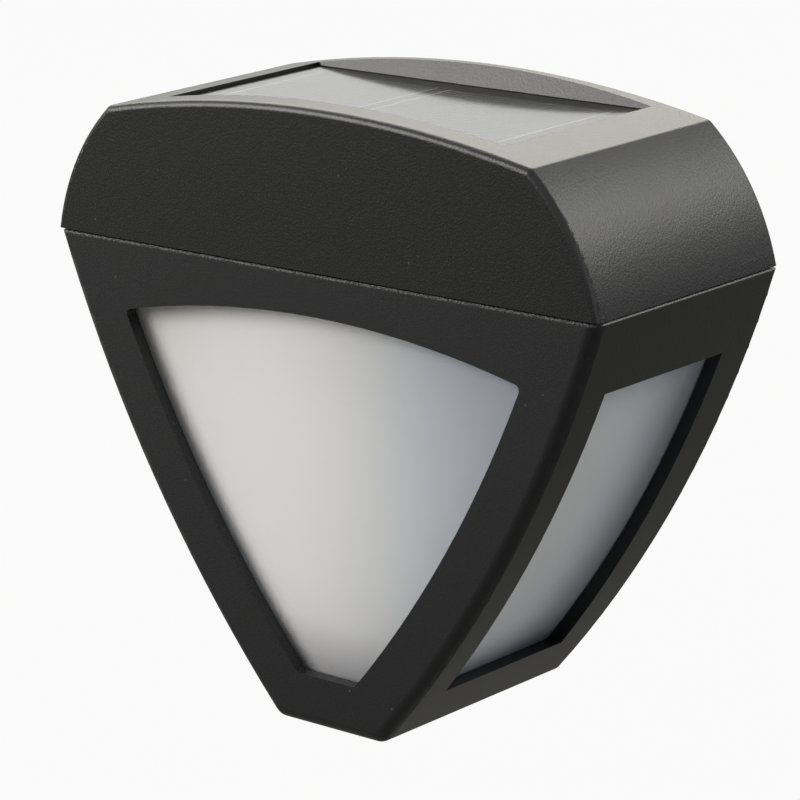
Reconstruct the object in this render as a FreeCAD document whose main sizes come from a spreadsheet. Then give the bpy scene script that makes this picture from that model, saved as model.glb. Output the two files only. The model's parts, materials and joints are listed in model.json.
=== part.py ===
import FreeCAD, Part
import math
import os
import re
import Sketcher

# Solar fence lantern: a roofed head with a solar panel over a lantern frame
# with frosted windows. X is the width, the front faces -Y, the wall side is
# the plane Y = 0 and Z points up. The origin is the centre of the keyhole's
# entry on the wall side. Inside this file heights are counted from the seam
# between head and lantern, and every piece is lowered by keyhole_above_seam.

SIZES = [
    # the housing's outline, seen from the front
    ("housing_width", "125", "width across the seam"),
    ("housing_depth", "50", "front face to wall face"),
    ("body_height", "83.8", "seam to underside"),
    ("bottom_half_width", "12.2", "half of the flat under the lantern"),
    ("body_side_radius", "245", "curve of the lantern's sides"),
    ("head_corner_half_width", "48.5", "half width at the roof's corners"),
    ("head_corner_height", "23.9", "seam to the roof's corners"),
    ("head_side_radius", "43", "curve of the head's sides"),
    ("arch_radius", "245", "curve of the roof"),
    ("wall_thick", "2.4", "wall of both mouldings"),
    ("head_edge_round", "1.3", "round of the head's outer edges"),
    ("body_edge_round", "2.2", "round of the lantern's front edges"),
    ("bottom_corner_round", "3", "round of the lantern's lower corners"),
    ("rear_edge_round", "0.6", "round of the lantern's edges at the wall"),
    ("head_rear_round", "1", "round of the head's edges at the wall"),
    # the seam
    ("seam_gap", "0.35", "shadow gap between head and lantern"),
    ("seam_bevel", "0.3", "bevel of the lantern's top edge"),
    ("tongue_set_in", "1.3", "outer face to the tongue"),
    ("tongue_height", "1.5", "tongue above the lantern's rim"),
    ("tongue_clearance", "0.15", "tongue to its groove, sideways"),
    ("gasket_thick", "0.6", "pressed gasket over the tongue"),
    # the windows
    ("window_border", "10.5", "frame beside the front window"),
    ("window_top_drop", "13.15", "seam to the front window's upper corners"),
    ("window_top_radius", "204", "curve of the front window's top edge"),
    ("window_bottom_drop", "74.1", "seam to the front window's sill"),
    ("side_window_front", "8.8", "front face to the side window"),
    ("side_window_rear", "8.6", "wall face to the side window"),
    ("side_window_top_drop", "14.6", "seam to the side window's top"),
    ("side_window_bottom_drop", "74.4", "seam to the side window's sill"),
    ("window_corner_round", "1", "round of the windows' corners"),
    # the panel recess in the roof
    ("recess_width", "77.2", "recess from end to end"),
    ("front_rim", "6", "roof in front of the recess"),
    ("rear_rim", "4.3", "roof behind the recess"),
    ("panel_top_height", "25.15", "seam to the panel's surface"),
    ("panel_clearance", "0.35", "gap round the panel"),
    ("resin_thick", "1", "clear coat over the board"),
    ("resin_round", "0.8", "rounded border of the clear coat"),
    ("cell_thick", "0.3", "solar cell"),
    ("cell_margin", "3.6", "clear border round the cells"),
    ("cell_gap", "1.2", "gap between the two cells"),
    ("cell_split", "4.2", "centre plane to the middle of that gap, on the left"),
    ("solar_board_thick", "1.6", "board under the cells"),
    ("sealant_thick", "0.4", "sealant bead under the board"),
    ("sealant_width", "3", "sealant bead"),
    ("lead_hole_radius", "1.8", "holes that leads pass through"),
    ("panel_lead_u", "5.5", "panel leads, from the control board's left edge"),
    ("panel_lead_v", "13", "panel leads, from the control board's front edge"),
    ("panel_lead_jog", "6", "panel leads, their step forward"),
    ("panel_lead_jog_height", "16", "seam to that step"),
    ("rib_x", "12", "ribs under the recess, sideways"),
    ("rib_height", "2", "ribs under the recess"),
    ("rib_rear", "12", "wall face to those ribs"),
    # the diffuser and the reflector behind it
    ("diffuser_thick", "1.4", "frosted wall"),
    ("diffuser_round", "1", "round of the diffuser's front edges"),
    ("diffuser_corner_round", "2", "round of the diffuser's lower corners"),
    ("diffuser_side_gap", "0.3", "frame to diffuser, at the sides"),
    ("diffuser_front_gap", "0.85", "frame to diffuser, at the front"),
    ("diffuser_overlap", "1.2", "diffuser below the front window's sill"),
    ("support_x", "4", "ribs that the diffuser stands on, sideways"),
    ("support_rear", "15", "wall face to those ribs"),
    ("diffuser_top_drop", "4", "seam to the diffuser's top edge"),
    ("diffuser_rear", "7", "wall face to the diffuser's rear edge"),
    ("notch_clearance", "0.7", "diffuser's notches round the upper screw towers"),
    ("reflector_thick", "1.2", "white sheet behind the diffuser"),
    ("piece_clearance", "0.3", "between inner pieces that only lie side by side"),
    # the back plate
    ("plate_thick", "2.5", "back plate"),
    ("plate_clearance", "0.15", "gap round the back plate"),
    ("plate_top_height", "19.4", "seam to the plate's top edge"),
    ("plate_seat_gap", "0.3", "plate to screw towers"),
    ("keyhole_above_seam", "7.5", "seam to the keyhole's entry"),
    ("keyhole_entry_radius", "4.25", "lets a screw head in"),
    ("keyhole_slot_width", "4.5", "for the screw's shank"),
    ("keyhole_slot_rise", "6", "entry to the end of the slot"),
    ("head_room_depth", "5", "room for the screw head behind the plate"),
    ("head_room_half_width", "6.2", "room for the screw head, sideways"),
    ("head_room_margin", "4.4", "room below the entry and above the slot"),
    ("pocket_wall", "1.2", "wall of the screw head's pocket"),
    ("rib_thick", "1.2", "ribs"),
    ("plate_rib_x", "15", "upright ribs on the plate, sideways"),
    ("plate_rib_top_drop", "14", "seam to the top of the upright ribs"),
    ("plate_rib_bottom_drop", "69", "seam to the foot of the upright ribs"),
    ("upper_rib_half_width", "36", "upper cross rib"),
    ("upper_rib_drop", "26", "seam to the upper cross rib"),
    ("lower_rib_half_width", "23", "lower cross rib"),
    ("lower_rib_drop", "52", "seam to the lower cross rib"),
    # the plate's screws
    ("tower_radius", "3", "screw towers"),
    ("web_thick", "1.2", "webs from towers to walls"),
    ("tower_length", "10", "screw towers"),
    ("plate_screw_radius", "1.1", "shank"),
    ("plate_screw_head_radius", "2", "head"),
    ("plate_screw_head_thick", "1.3", "head"),
    ("plate_screw_sunk", "1.5", "counterbore in the plate"),
    ("cross_reach", "1.2", "cross recess, centre to tip"),
    ("cross_width", "0.6", "cross recess"),
    ("cross_depth", "0.7", "cross recess"),
    ("plate_screw_length", "9", "under the head"),
    ("screw_clearance", "0.05", "shank to its hole"),
    ("screw_tip_bevel", "0.35", "bevel at a screw's tip"),
    ("head_room_round_screw", "0.25", "screw head to its counterbore"),
    ("upper_tower_set_in", "6.8", "head's towers, from the outer face"),
    ("upper_tower_height", "9.8", "head's towers, above the seam"),
    ("middle_tower_set_in", "6.5", "lantern's upper towers, from the outer face"),
    ("middle_tower_drop", "7.3", "lantern's upper towers, below the seam"),
    ("lower_tower_set_in", "4.7", "lantern's lower towers, from the flat's end"),
    ("lower_tower_lift", "5.7", "underside to the lantern's lower towers"),
    ("lower_tower_radius", "2.5", "lantern's lower towers"),
    # the tray under the head
    ("tray_clearance", "0.4", "tray to the housing's side walls"),
    ("tray_front", "2.8", "front face to the tray"),
    ("tray_rear", "3", "wall face to the tray"),
    ("tray_thick", "1.6", "tray floor"),
    ("tray_top_height", "0.6", "seam to the tray's upper face"),
    ("tray_skirt_thick", "1.4", "skirt under the tray"),
    ("tray_skirt_depth", "2.7", "skirt under the tray"),
    ("tray_corner_round", "2", "tray corners"),
    ("post_beside_recess", "5.4", "recess to the tray posts' axes, sideways"),
    ("post_front", "7", "front face to the front posts"),
    ("post_web_height", "3", "seam to the webs of the front posts"),
    ("post_spacing", "23", "front posts to rear posts"),
    ("post_radius", "3", "posts in the head"),
    ("post_sink", "0.25", "posts into the roof's wall"),
    ("tray_screw_radius", "1.1", "shank"),
    ("tray_screw_head_radius", "2.2", "head"),
    ("tray_screw_head_thick", "1.4", "head"),
    ("tray_screw_length", "8", "under the head"),
    # the light source
    ("led_board_length", "70", "strip board"),
    ("led_board_width", "13", "strip board"),
    ("led_board_thick", "1.2", "strip board"),
    ("led_board_front", "25", "front face to the strip board's centre line"),
    ("led_spacing", "14", "from lamp to lamp"),
    ("led_length", "3.5", "lamp body"),
    ("led_width", "2.8", "lamp body"),
    ("led_thick", "0.8", "lamp body"),
    ("led_dome_radius", "1.15", "lamp dome"),
    ("led_dome_height", "0.45", "lamp dome"),
    ("led_dome_bevel", "0.4", "lamp dome"),
    ("board_screw_x", "30", "strip board's screws, sideways"),
    ("board_screw_radius", "0.9", "shank"),
    ("board_screw_head_radius", "1.8", "head"),
    ("board_screw_head_thick", "1.2", "head"),
    ("board_screw_length", "5", "under the head"),
    ("screw_tip_room", "0.4", "pilot hole beyond a screw's tip"),
    ("nipple_radius", "2.4", "screw nipples on the tray"),
    ("nipple_height", "3", "screw nipples on the tray"),
    # the battery
    ("cell_radius", "5.25", "battery, size AAA"),
    ("cell_length", "43.3", "battery without its nub"),
    ("nub_radius", "1.9", "battery's plus nub"),
    ("nub_length", "1", "battery's plus nub"),
    ("cell_bevel", "0.35", "rims of the battery"),
    ("battery_left", "34", "centre plane to the battery's flat end"),
    ("battery_front", "13.4", "front face to the battery's axis"),
    ("holder_floor", "1", "holder under the battery"),
    ("holder_wall", "1.2", "holder's walls"),
    ("holder_side_height", "6", "holder's long walls"),
    ("holder_end_height", "10.5", "holder's end walls"),
    ("peg_radius", "1.2", "pegs under the holder"),
    ("peg_left_x", "20", "centre plane to the left peg"),
    ("notch_left_x", "20", "centre plane to the finger notch's left end"),
    ("notch_width", "15", "finger notch in the holder's long walls"),
    ("notch_floor", "3", "finger notch above the tray"),
    ("spring_room", "4", "battery's flat end to its contact"),
    ("contact_thick", "0.4", "sheet contacts"),
    ("contact_width", "7", "sheet contacts"),
    ("contact_height", "8", "sheet contacts"),
    ("tab_width", "3", "solder tabs of the contacts"),
    ("tab_height", "3", "solder tabs of the contacts"),
    ("spring_wire_radius", "0.3", "contact spring"),
    ("spring_turns", "3", "contact spring"),
    ("spring_coil_radius", "2.9", "contact spring"),
    # the control board
    ("control_length", "25", "control board, sideways"),
    ("control_width", "21", "control board, front to back"),
    ("control_thick", "1.2", "control board"),
    ("control_gap", "2.6", "battery holder to the control board"),
    ("control_front", "7", "front face to the control board"),
    ("standoff_height", "3.6", "under the control board"),
    ("standoff_radius", "2.4", "under the control board"),
    ("standoff_inset", "3.2", "board edge to the standoffs' axes"),
    ("chip_u", "9.5", "driver chip, from the board's left edge"),
    ("chip_v", "9.5", "driver chip, from its front edge"),
    ("chip_length", "5", "driver chip"),
    ("chip_width", "4", "driver chip"),
    ("chip_height", "1.5", "driver chip"),
    ("coil_u", "10", "coil, from the left edge"),
    ("coil_v", "4.4", "coil, from the front edge"),
    ("coil_radius", "3", "coil"),
    ("coil_height", "3", "coil"),
    ("can_u", "20.8", "capacitor, from the left edge"),
    ("can_v", "4", "capacitor, from the front edge"),
    ("can_radius", "2.5", "capacitor"),
    ("can_height", "5.5", "capacitor"),
    ("resistor_u", "18", "chip resistors, from the left edge"),
    ("resistor_v", "8.2", "chip resistors, from the front edge"),
    ("resistor_pitch", "2.2", "between chip resistors"),
    ("resistor_length", "2", "chip resistors"),
    ("resistor_width", "1.25", "chip resistors"),
    ("resistor_height", "0.5", "chip resistors"),
    # the switch and its button
    ("button_x", "28", "sideways"),
    ("button_above_seam", "8.6", "seam to the button's axis"),
    ("button_radius", "3.85", "button cap"),
    ("button_clearance", "0.05", "cap to its hole"),
    ("button_sunk", "0.3", "wall face to the button's face"),
    ("button_well_radius", "5.6", "shallow well round the button"),
    ("button_well_depth", "1", "shallow well round the button"),
    ("button_travel", "1.6", "stroke"),
    ("button_flange_radius", "4.8", "collar that keeps the button in"),
    ("button_flange_thick", "1", "collar"),
    ("button_flange_gap", "0.3", "plate to collar at rest"),
    ("button_hub_radius", "2.7", "socket for the plunger"),
    ("button_hub_length", "1.5", "socket for the plunger"),
    ("button_face_round", "0.5", "edge of the button's face"),
    ("cup_radius", "5.3", "bore of the cup behind the button"),
    ("cup_wall", "1.3", "cup behind the button"),
    ("cup_length", "5", "cup behind the button"),
    ("switch_width", "13", "switch housing, across"),
    ("switch_height", "8.4", "switch housing, up and down"),
    ("switch_depth", "6", "switch housing, front to back"),
    ("switch_round", "0.6", "switch housing, long edges"),
    ("plunger_radius", "1.6", "switch plunger"),
    ("plunger_clearance", "0.06", "plunger to its hole"),
    ("plunger_in_switch", "1.6", "plunger inside the switch at rest"),
    ("plunger_in_hub", "1.2", "plunger inside the button's socket"),
    ("terminal_length", "2.6", "switch terminals"),
    ("terminal_x", "4.5", "switch axis to the terminals"),
    ("terminal_width", "1.2", "switch terminals"),
    ("terminal_thick", "0.5", "switch terminals"),
    ("hook_width", "5", "hooks that hold the switch"),
    ("hook_thick", "1.2", "hooks that hold the switch"),
    ("hook_reach", "0.8", "hooks over the switch's back"),
    ("hook_play", "0.1", "hooks to the switch"),
    # the leads
    ("lead_radius", "0.6", "insulated lead"),
    ("lead_pitch", "1.7", "between the two leads of a pair"),
    ("lead_bend_share", "0.45", "share of a run that its bend may use"),
    ("lead_stand_off", "2.4", "leads beside what they pass"),
    ("lamp_lead_x", "5.2", "lamp leads, sideways"),
    ("lead_lift", "4.1", "leads above the control board where they come in"),
    ("landing_inset", "1.9", "board edge to the leads' solder points"),
]

# Circle centres and chords of the outline, and places that follow other sizes.
DERIVED = [
    ("body_chord", "sqrt((housing_width / 2 - bottom_half_width)^2 + body_height^2)"),
    ("body_apothem", "sqrt(body_side_radius^2 - body_chord^2 / 4)"),
    ("body_centre_x", "(housing_width / 2 + bottom_half_width) / 2"
                      " - body_height / body_chord * body_apothem"),
    ("body_centre_z", "-body_height / 2"
                      " + (housing_width / 2 - bottom_half_width) / body_chord * body_apothem"),
    ("head_chord", "sqrt((housing_width / 2 - head_corner_half_width)^2"
                   " + head_corner_height^2)"),
    ("head_apothem", "sqrt(head_side_radius^2 - head_chord^2 / 4)"),
    ("head_centre_x", "(housing_width / 2 + head_corner_half_width) / 2"
                      " - head_corner_height / head_chord * head_apothem"),
    ("head_centre_z", "head_corner_height / 2"
                      " - (housing_width / 2 - head_corner_half_width) / head_chord"
                      " * head_apothem"),
    ("arch_centre_z", "head_corner_height - sqrt(arch_radius^2 - head_corner_half_width^2)"),
    ("tongue_thick", "wall_thick - tongue_set_in"),
    ("recess_floor_height", "panel_top_height - resin_thick - solar_board_thick"
                            " - sealant_thick"),
    ("board_underside", "recess_floor_height + sealant_thick"),
    ("board_top", "board_underside + solar_board_thick"),
    ("plate_inset", "wall_thick + plate_clearance"),
    ("plate_bottom_drop", "body_height - plate_inset"),
    ("keyhole_top", "keyhole_above_seam + keyhole_slot_rise"),
    ("tower_seat", "plate_thick + plate_seat_gap"),
    ("upper_tower_x", "head_centre_x - upper_tower_set_in + sqrt(head_side_radius^2"
                      " - (upper_tower_height - head_centre_z)^2)"),
    ("middle_tower_x", "body_centre_x - middle_tower_set_in + sqrt(body_side_radius^2"
                       " - (-middle_tower_drop - body_centre_z)^2)"),
    ("lower_tower_x", "bottom_half_width - lower_tower_set_in"),
    ("lower_tower_drop", "body_height - lower_tower_lift"),
    ("diffuser_inset", "wall_thick + diffuser_side_gap"),
    ("diffuser_bottom_drop", "window_bottom_drop + diffuser_overlap"),
    ("notch_height", "middle_tower_drop + tower_radius + notch_clearance"
                     " - diffuser_top_drop"),
    ("notch_depth", "tower_seat + tower_length + notch_clearance - diffuser_rear"),
    ("tray_underside", "tray_top_height - tray_thick"),
    ("tray_half_width", "body_centre_x - tray_clearance + sqrt((body_side_radius - wall_thick)^2"
                        " - (tray_underside - tray_skirt_depth - body_centre_z)^2)"),
    ("post_x", "recess_width / 2 + post_beside_recess"),
    ("post_rear", "housing_depth - post_front - post_spacing"),
    ("post_top_height", "arch_centre_z + sqrt(arch_radius^2 - post_x^2) - wall_thick"
                        " + post_sink"),
    ("led_board_back", "housing_depth - led_board_front"),
    ("battery_back", "housing_depth - battery_front"),
    ("cell_axis_height", "tray_top_height + holder_floor + cell_radius"),
    ("holder_left", "battery_left + spring_room + contact_thick"),
    ("holder_right", "cell_length + nub_length - battery_left + contact_thick"),
    ("holder_half_width", "cell_radius + piece_clearance + holder_wall"),
    ("control_left", "holder_right + holder_wall + control_gap"),
    ("control_underside", "tray_top_height + standoff_height"),
    ("control_top", "control_underside + control_thick"),
    ("panel_lead_x", "control_left + panel_lead_u"),
    ("panel_lead_back", "housing_depth - control_front - panel_lead_v - panel_lead_jog"),
    ("switch_face", "plate_thick + cup_length"),
    ("collar_face", "plate_thick + button_flange_gap"),
    ("hub_end", "collar_face + button_flange_thick + button_hub_length"),
]

document = FreeCAD.newDocument("FenceLantern")
sheet = document.addObject("Spreadsheet::Sheet", "Sizes")
for row, (alias, value, meaning) in enumerate(SIZES, start=1):
    sheet.set("A%d" % row, meaning)
    sheet.set("B%d" % row, value)
    sheet.setAlias("B%d" % row, alias)
document.recompute()

SIZE_NAMES = {alias for alias, value, meaning in SIZES}
DERIVED_NAMES = {name for name, formula in DERIVED}


def bound(text):
    """The formula with each size written as a reference into the document."""
    def reference(match):
        word = match.group()
        if word in SIZE_NAMES:
            return "Sizes." + word
        if word in DERIVED_NAMES:
            return "Derived." + word
        return word
    return re.sub(r"[A-Za-z_][A-Za-z_0-9]*", reference, text)


derived = document.addObject("App::VarSet", "Derived")
for name, formula in DERIVED:
    derived.addProperty("App::PropertyFloat", name)
    derived.setExpression(name, bound(formula))
document.recompute()


def number(text):
    """The present value of a formula."""
    value = sheet.evalExpression(bound(text))
    return float(getattr(value, "Value", value))


def side_x(inset, height):
    """Half width of the lantern, inset by a wall, at a height above the seam."""
    return ("(body_centre_x + sqrt((body_side_radius - ({0}))^2"
            " - (({1}) - body_centre_z)^2))").format(inset, height)


def head_side_x(inset, height):
    """Half width of the head, inset by a wall, at a height above the seam."""
    return ("(head_centre_x + sqrt((head_side_radius - ({0}))^2"
            " - (({1}) - head_centre_z)^2))").format(inset, height)


def minus(formula):
    return "-(" + formula + ")"


# ---------------------------------------------------------------- drawing aids

def new_body(label):
    """A sub-part whose heights are counted from the seam."""
    body = document.addObject("PartDesign::Body", label)
    body.Label = label
    body.setExpression("Placement.Base.z", bound("-keyhole_above_seam"))
    return body


def sketch_on(body, plane, offset="0"):
    """A sketch on one of the body's own planes, moved along the plane's normal."""
    sketch = body.newObject("Sketcher::SketchObject", body.Name + "_sketch")
    origin_plane = [item for item in body.Origin.OriginFeatures if item.Role == plane][0]
    sketch.AttachmentSupport = (origin_plane, "")
    sketch.MapMode = "FlatFace"
    sketch.setExpression("AttachmentOffset.Base.z", bound(offset))
    return sketch


def arc_between(start, end, radius, turn):
    """An arc under half a circle, and which of its ends is the start."""
    span = end.sub(start)
    apothem = math.sqrt(radius ** 2 - span.Length ** 2 / 4)
    left = FreeCAD.Vector(-span.y, span.x, 0).normalize()
    centre = start.add(end).multiply(0.5).add(left.multiply(turn * apothem))
    circle = Part.Circle(centre, FreeCAD.Vector(0, 0, 1), radius)
    angles = [math.atan2(p.y - centre.y, p.x - centre.x) for p in (start, end)]
    if turn > 0:
        return Part.ArcOfCircle(circle, angles[0], angles[1]), 1, 2
    return Part.ArcOfCircle(circle, angles[1], angles[0]), 2, 1


def tie(sketch, kind, geometry, point, formula):
    """Tie a point's coordinate, or a circle's radius, to a formula."""
    if kind == "Radius":
        item = Sketcher.Constraint(kind, geometry, number(formula))
    else:
        item = Sketcher.Constraint(kind, -1, 1, geometry, point, number(formula))
    index = sketch.addConstraint(item)
    sketch.setExpression("Constraints[%d]" % index, bound(formula))


def outline(sketch, corners, arcs=None):
    """A closed loop. arcs gives an edge's radius and turn: 1 is anticlockwise."""
    arcs = arcs or {}
    points = [FreeCAD.Vector(number(u), number(v), 0) for u, v in corners]
    ends = []
    for index, start in enumerate(points):
        end = points[(index + 1) % len(points)]
        if index in arcs:
            radius, turn = arcs[index]
            curve, first, last = arc_between(start, end, number(radius), turn)
        else:
            curve, first, last = Part.LineSegment(start, end), 1, 2
        ends.append((sketch.addGeometry(curve, False), first, last))
    for index, (geometry, first, last) in enumerate(ends):
        follower, follower_first, follower_last = ends[(index + 1) % len(ends)]
        sketch.addConstraint(
            Sketcher.Constraint("Coincident", geometry, last, follower, follower_first))
        tie(sketch, "DistanceX", geometry, first, corners[index][0])
        tie(sketch, "DistanceY", geometry, first, corners[index][1])
    for index, (radius, turn) in arcs.items():
        tie(sketch, "Radius", ends[index][0], 0, radius)


def rectangle(sketch, low_u, low_v, high_u, high_v):
    outline(sketch, [(low_u, low_v), (high_u, low_v), (high_u, high_v), (low_u, high_v)])


def disc(sketch, u, v, radius):
    centre = FreeCAD.Vector(number(u), number(v), 0)
    circle = Part.Circle(centre, FreeCAD.Vector(0, 0, 1), number(radius))
    index = sketch.addGeometry(circle, False)
    tie(sketch, "DistanceX", index, 3, u)
    tie(sketch, "DistanceY", index, 3, v)
    tie(sketch, "Radius", index, 0, radius)


def mirrored(right_side):
    """Corners down the right side, then the same up the left."""
    return right_side + [(minus(u), v) for u, v in reversed(right_side)]


def pad(sketch, length, against_normal=False):
    """Add material, and make sure that some was added."""
    return extrude(sketch, "PartDesign::Pad", length, against_normal, 1)


def pocket(sketch, length, against_normal=False):
    """Cut material along the sketch's normal, and make sure that some went."""
    return extrude(sketch, "PartDesign::Pocket", length, not against_normal, -1)


def extrude(sketch, kind, length, reverse, sign):
    body = sketch.getParentGeoFeatureGroup()
    before = volume(body)
    feature = body.newObject(kind, body.Name + "_feature")
    feature.Profile = sketch
    feature.Reversed = reverse
    feature.setExpression("Length", bound(length))
    document.recompute()
    if sign * (volume(body) - before) <= 0:
        raise RuntimeError(feature.Name + " changes nothing")
    return feature


def volume(body):
    return 0.0 if body.Shape.isNull() else body.Shape.Volume


def local_shape(body):
    """The body's latest feature, with heights from the seam."""
    return body.Tip.Shape


def edge_names(body, wanted):
    edges = local_shape(body).Edges
    return ["Edge%d" % (i + 1) for i, edge in enumerate(edges) if wanted(edge)]


def face_names(body, wanted):
    faces = local_shape(body).Faces
    return ["Face%d" % (i + 1) for i, face in enumerate(faces) if wanted(face)]


def dress(body, kind, radius, wanted):
    """Round or bevel the edges that are wanted."""
    names = edge_names(body, wanted)
    if not names:
        raise RuntimeError(body.Label + " has no such edge")
    base = body.Tip
    feature = body.newObject(kind, body.Name + "_edge")
    feature.Base = (base, names)
    feature.setExpression("Size" if kind.endswith("Chamfer") else "Radius", bound(radius))
    document.recompute()
    return feature


def round_edges(body, radius, wanted):
    return dress(body, "PartDesign::Fillet", radius, wanted)


def bevel_edges(body, size, wanted):
    return dress(body, "PartDesign::Chamfer", size, wanted)


def shell(body, thickness, open_face):
    """Hollow the body inwards, open at the wanted faces."""
    names = face_names(body, open_face)
    before = volume(body)
    base = body.Tip
    feature = body.newObject("PartDesign::Thickness", body.Name + "_shell")
    feature.Base = (base, names)
    feature.Reversed = True
    feature.Join = 1
    feature.setExpression("Value", bound(thickness))
    document.recompute()
    if not 0 < volume(body) < before:
        raise RuntimeError(body.Label + " was not hollowed")
    return feature


def near(value, target):
    return abs(value - target) < 0.01


def flat_at(box, axis, level):
    """Whether a bounding box is flat and lies at a level of an axis."""
    low = {"x": box.XMin, "y": box.YMin, "z": box.ZMin}[axis]
    high = {"x": box.XMax, "y": box.YMax, "z": box.ZMax}[axis]
    return near(low, level) and near(high, level)


def plain_feature(label, shape):
    """A swept shape as an object of its own, heights counted from the seam."""
    feature = document.addObject("Part::Feature", label)
    feature.Label = label
    feature.Shape = shape
    feature.setExpression("Placement.Base.z", bound("-keyhole_above_seam"))
    return feature


def middle(edge):
    return edge.valueAt((edge.FirstParameter + edge.LastParameter) / 2)


def upright(edge):
    return near(edge.BoundBox.XLength, 0) and near(edge.BoundBox.YLength, 0)


def front_to_back(edge):
    return near(edge.BoundBox.XLength, 0) and near(edge.BoundBox.ZLength, 0)


# ------------------------------------------------------------------ the housing

def both_sides(x, height):
    return [(x, height), (minus(x), height)]


PLATE_SCREWS = (both_sides("upper_tower_x", "upper_tower_height")
                + both_sides("middle_tower_x", "-middle_tower_drop")
                + both_sides("lower_tower_x", "-lower_tower_drop"))
POSTS = (both_sides("post_x", "post_front - housing_depth")
         + both_sides("post_x", "-post_rear"))


def u_strip(sketch, set_in, thick, rear):
    """A strip along the front and both sides, set in from the outer faces."""
    outer = "(housing_width / 2 - ({0}))".format(set_in)
    inner = "({0} - ({1}))".format(outer, thick)
    outer_front = minus("housing_depth - ({0})".format(set_in))
    inner_front = "({0} + ({1}))".format(outer_front, thick)
    outline(sketch, [
        (outer, minus(rear)), (outer, outer_front),
        (minus(outer), outer_front), (minus(outer), minus(rear)),
        (minus(inner), minus(rear)), (minus(inner), inner_front),
        (inner, inner_front), (inner, minus(rear))])


def towers(body, places, radius, webs):
    """Screw towers ahead of the back plate, webbed to the wall, with pilot holes."""
    rods = sketch_on(body, "XZ_Plane", "tower_seat")
    for x, height in places:
        disc(rods, x, height, radius)
    pad(rods, "tower_length")
    ribs = sketch_on(body, "XZ_Plane", "tower_seat")
    for corners in webs:
        rectangle(ribs, *corners)
    pad(ribs, "tower_length")
    holes = sketch_on(body, "XZ_Plane", "tower_seat")
    for x, height in places:
        disc(holes, x, height, "plate_screw_radius + screw_clearance")
    pocket(holes, "tower_length - wall_thick / 2")


def side_webs(tower_x, height, wall_x):
    low = height + " - web_thick / 2"
    high = height + " + web_thick / 2"
    return [(tower_x, low, wall_x, high), (minus(wall_x), low, minus(tower_x), high)]


def make_lantern_frame():
    """Lower moulding: tapered frame with three windows, open to the rear and top."""
    body = new_body("lantern_frame")
    depth = number("housing_depth")
    rim = number("-seam_gap")
    floor = number("-body_height")

    profile = sketch_on(body, "XZ_Plane")
    outline(profile,
            mirrored([(side_x("0", "-seam_gap"), "-seam_gap"),
                      ("bottom_half_width", "-body_height")]),
            {0: ("body_side_radius", -1), 2: ("body_side_radius", -1)})
    pad(profile, "housing_depth")
    shell(body, "wall_thick",
          lambda face: flat_at(face.BoundBox, "z", rim) or flat_at(face.BoundBox, "y", 0))
    round_edges(body, "bottom_corner_round",
                lambda edge: front_to_back(edge) and near(middle(edge).z, floor))
    round_edges(body, "body_edge_round",
                lambda edge: flat_at(edge.BoundBox, "y", -depth)
                and not flat_at(edge.BoundBox, "z", rim))
    outer_rear = number("housing_width / 2 - wall_thick / 2")
    round_edges(body, "rear_edge_round",
                lambda edge: flat_at(edge.BoundBox, "y", 0)
                and not flat_at(edge.BoundBox, "z", rim)
                and not inner_rear_edge(edge, "wall_thick / 2"))
    bevel_edges(body, "seam_bevel",
                lambda edge: flat_at(edge.BoundBox, "z", rim)
                and (near(middle(edge).y, -depth) or abs(middle(edge).x) > outer_rear))

    front_window = sketch_on(body, "XZ_Plane", "housing_depth - 2 * wall_thick")
    side_radius = "body_side_radius - window_border"
    outline(front_window,
            mirrored([(side_x("window_border", "-window_top_drop"), "-window_top_drop"),
                      (side_x("window_border", "-window_bottom_drop"),
                       "-window_bottom_drop")]),
            {0: (side_radius, -1), 2: (side_radius, -1), 3: ("window_top_radius", -1)})
    pocket(front_window, "3 * wall_thick")
    side_window = sketch_on(body, "YZ_Plane")
    rectangle(side_window, "side_window_front - housing_depth", "-side_window_bottom_drop",
              "-side_window_rear", "-side_window_top_drop")
    pocket(side_window, "housing_width / 2")
    pocket(side_window, "housing_width / 2", against_normal=True)
    corner_heights = [number(minus(name)) for name in
                      ("window_top_drop", "window_bottom_drop")]
    round_edges(body, "window_corner_round",
                lambda edge: edge.BoundBox.YMax < -depth / 2 and front_to_back(edge)
                and any(near(middle(edge).z, height) for height in corner_heights))

    tongue = sketch_on(body, "XY_Plane", "-seam_gap")
    u_strip(tongue, "tongue_set_in", "tongue_thick", "rear_edge_round")
    pad(tongue, "tongue_height")
    wall_x = side_x("wall_thick / 2", "-middle_tower_drop")
    towers(body, both_sides("middle_tower_x", "-middle_tower_drop"), "tower_radius",
           side_webs("middle_tower_x", "-middle_tower_drop", wall_x))
    towers(body, both_sides("lower_tower_x", "-lower_tower_drop"), "lower_tower_radius",
           [(x + " - web_thick / 2", "wall_thick / 2 - body_height",
             x + " + web_thick / 2", "-lower_tower_drop")
            for x in ("lower_tower_x", "-lower_tower_x")])
    supports = sketch_on(body, "XY_Plane", "wall_thick / 2 - body_height")
    for x in ("support_x", "-support_x"):
        rectangle(supports, x + " - rib_thick / 2", "wall_thick / 2 - housing_depth",
                  x + " + rib_thick / 2", "-support_rear")
    pad(supports, "body_height - wall_thick / 2 - diffuser_bottom_drop - piece_clearance")
    return body


def inner_rear_edge(edge, inset):
    """Whether a rear edge lies further in than an inset from the outer outline."""
    spot = middle(edge)
    return (spot.z > number("-body_height + (" + inset + ")")
            and abs(spot.x) < number(side_x(inset, str(spot.z))))


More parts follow.
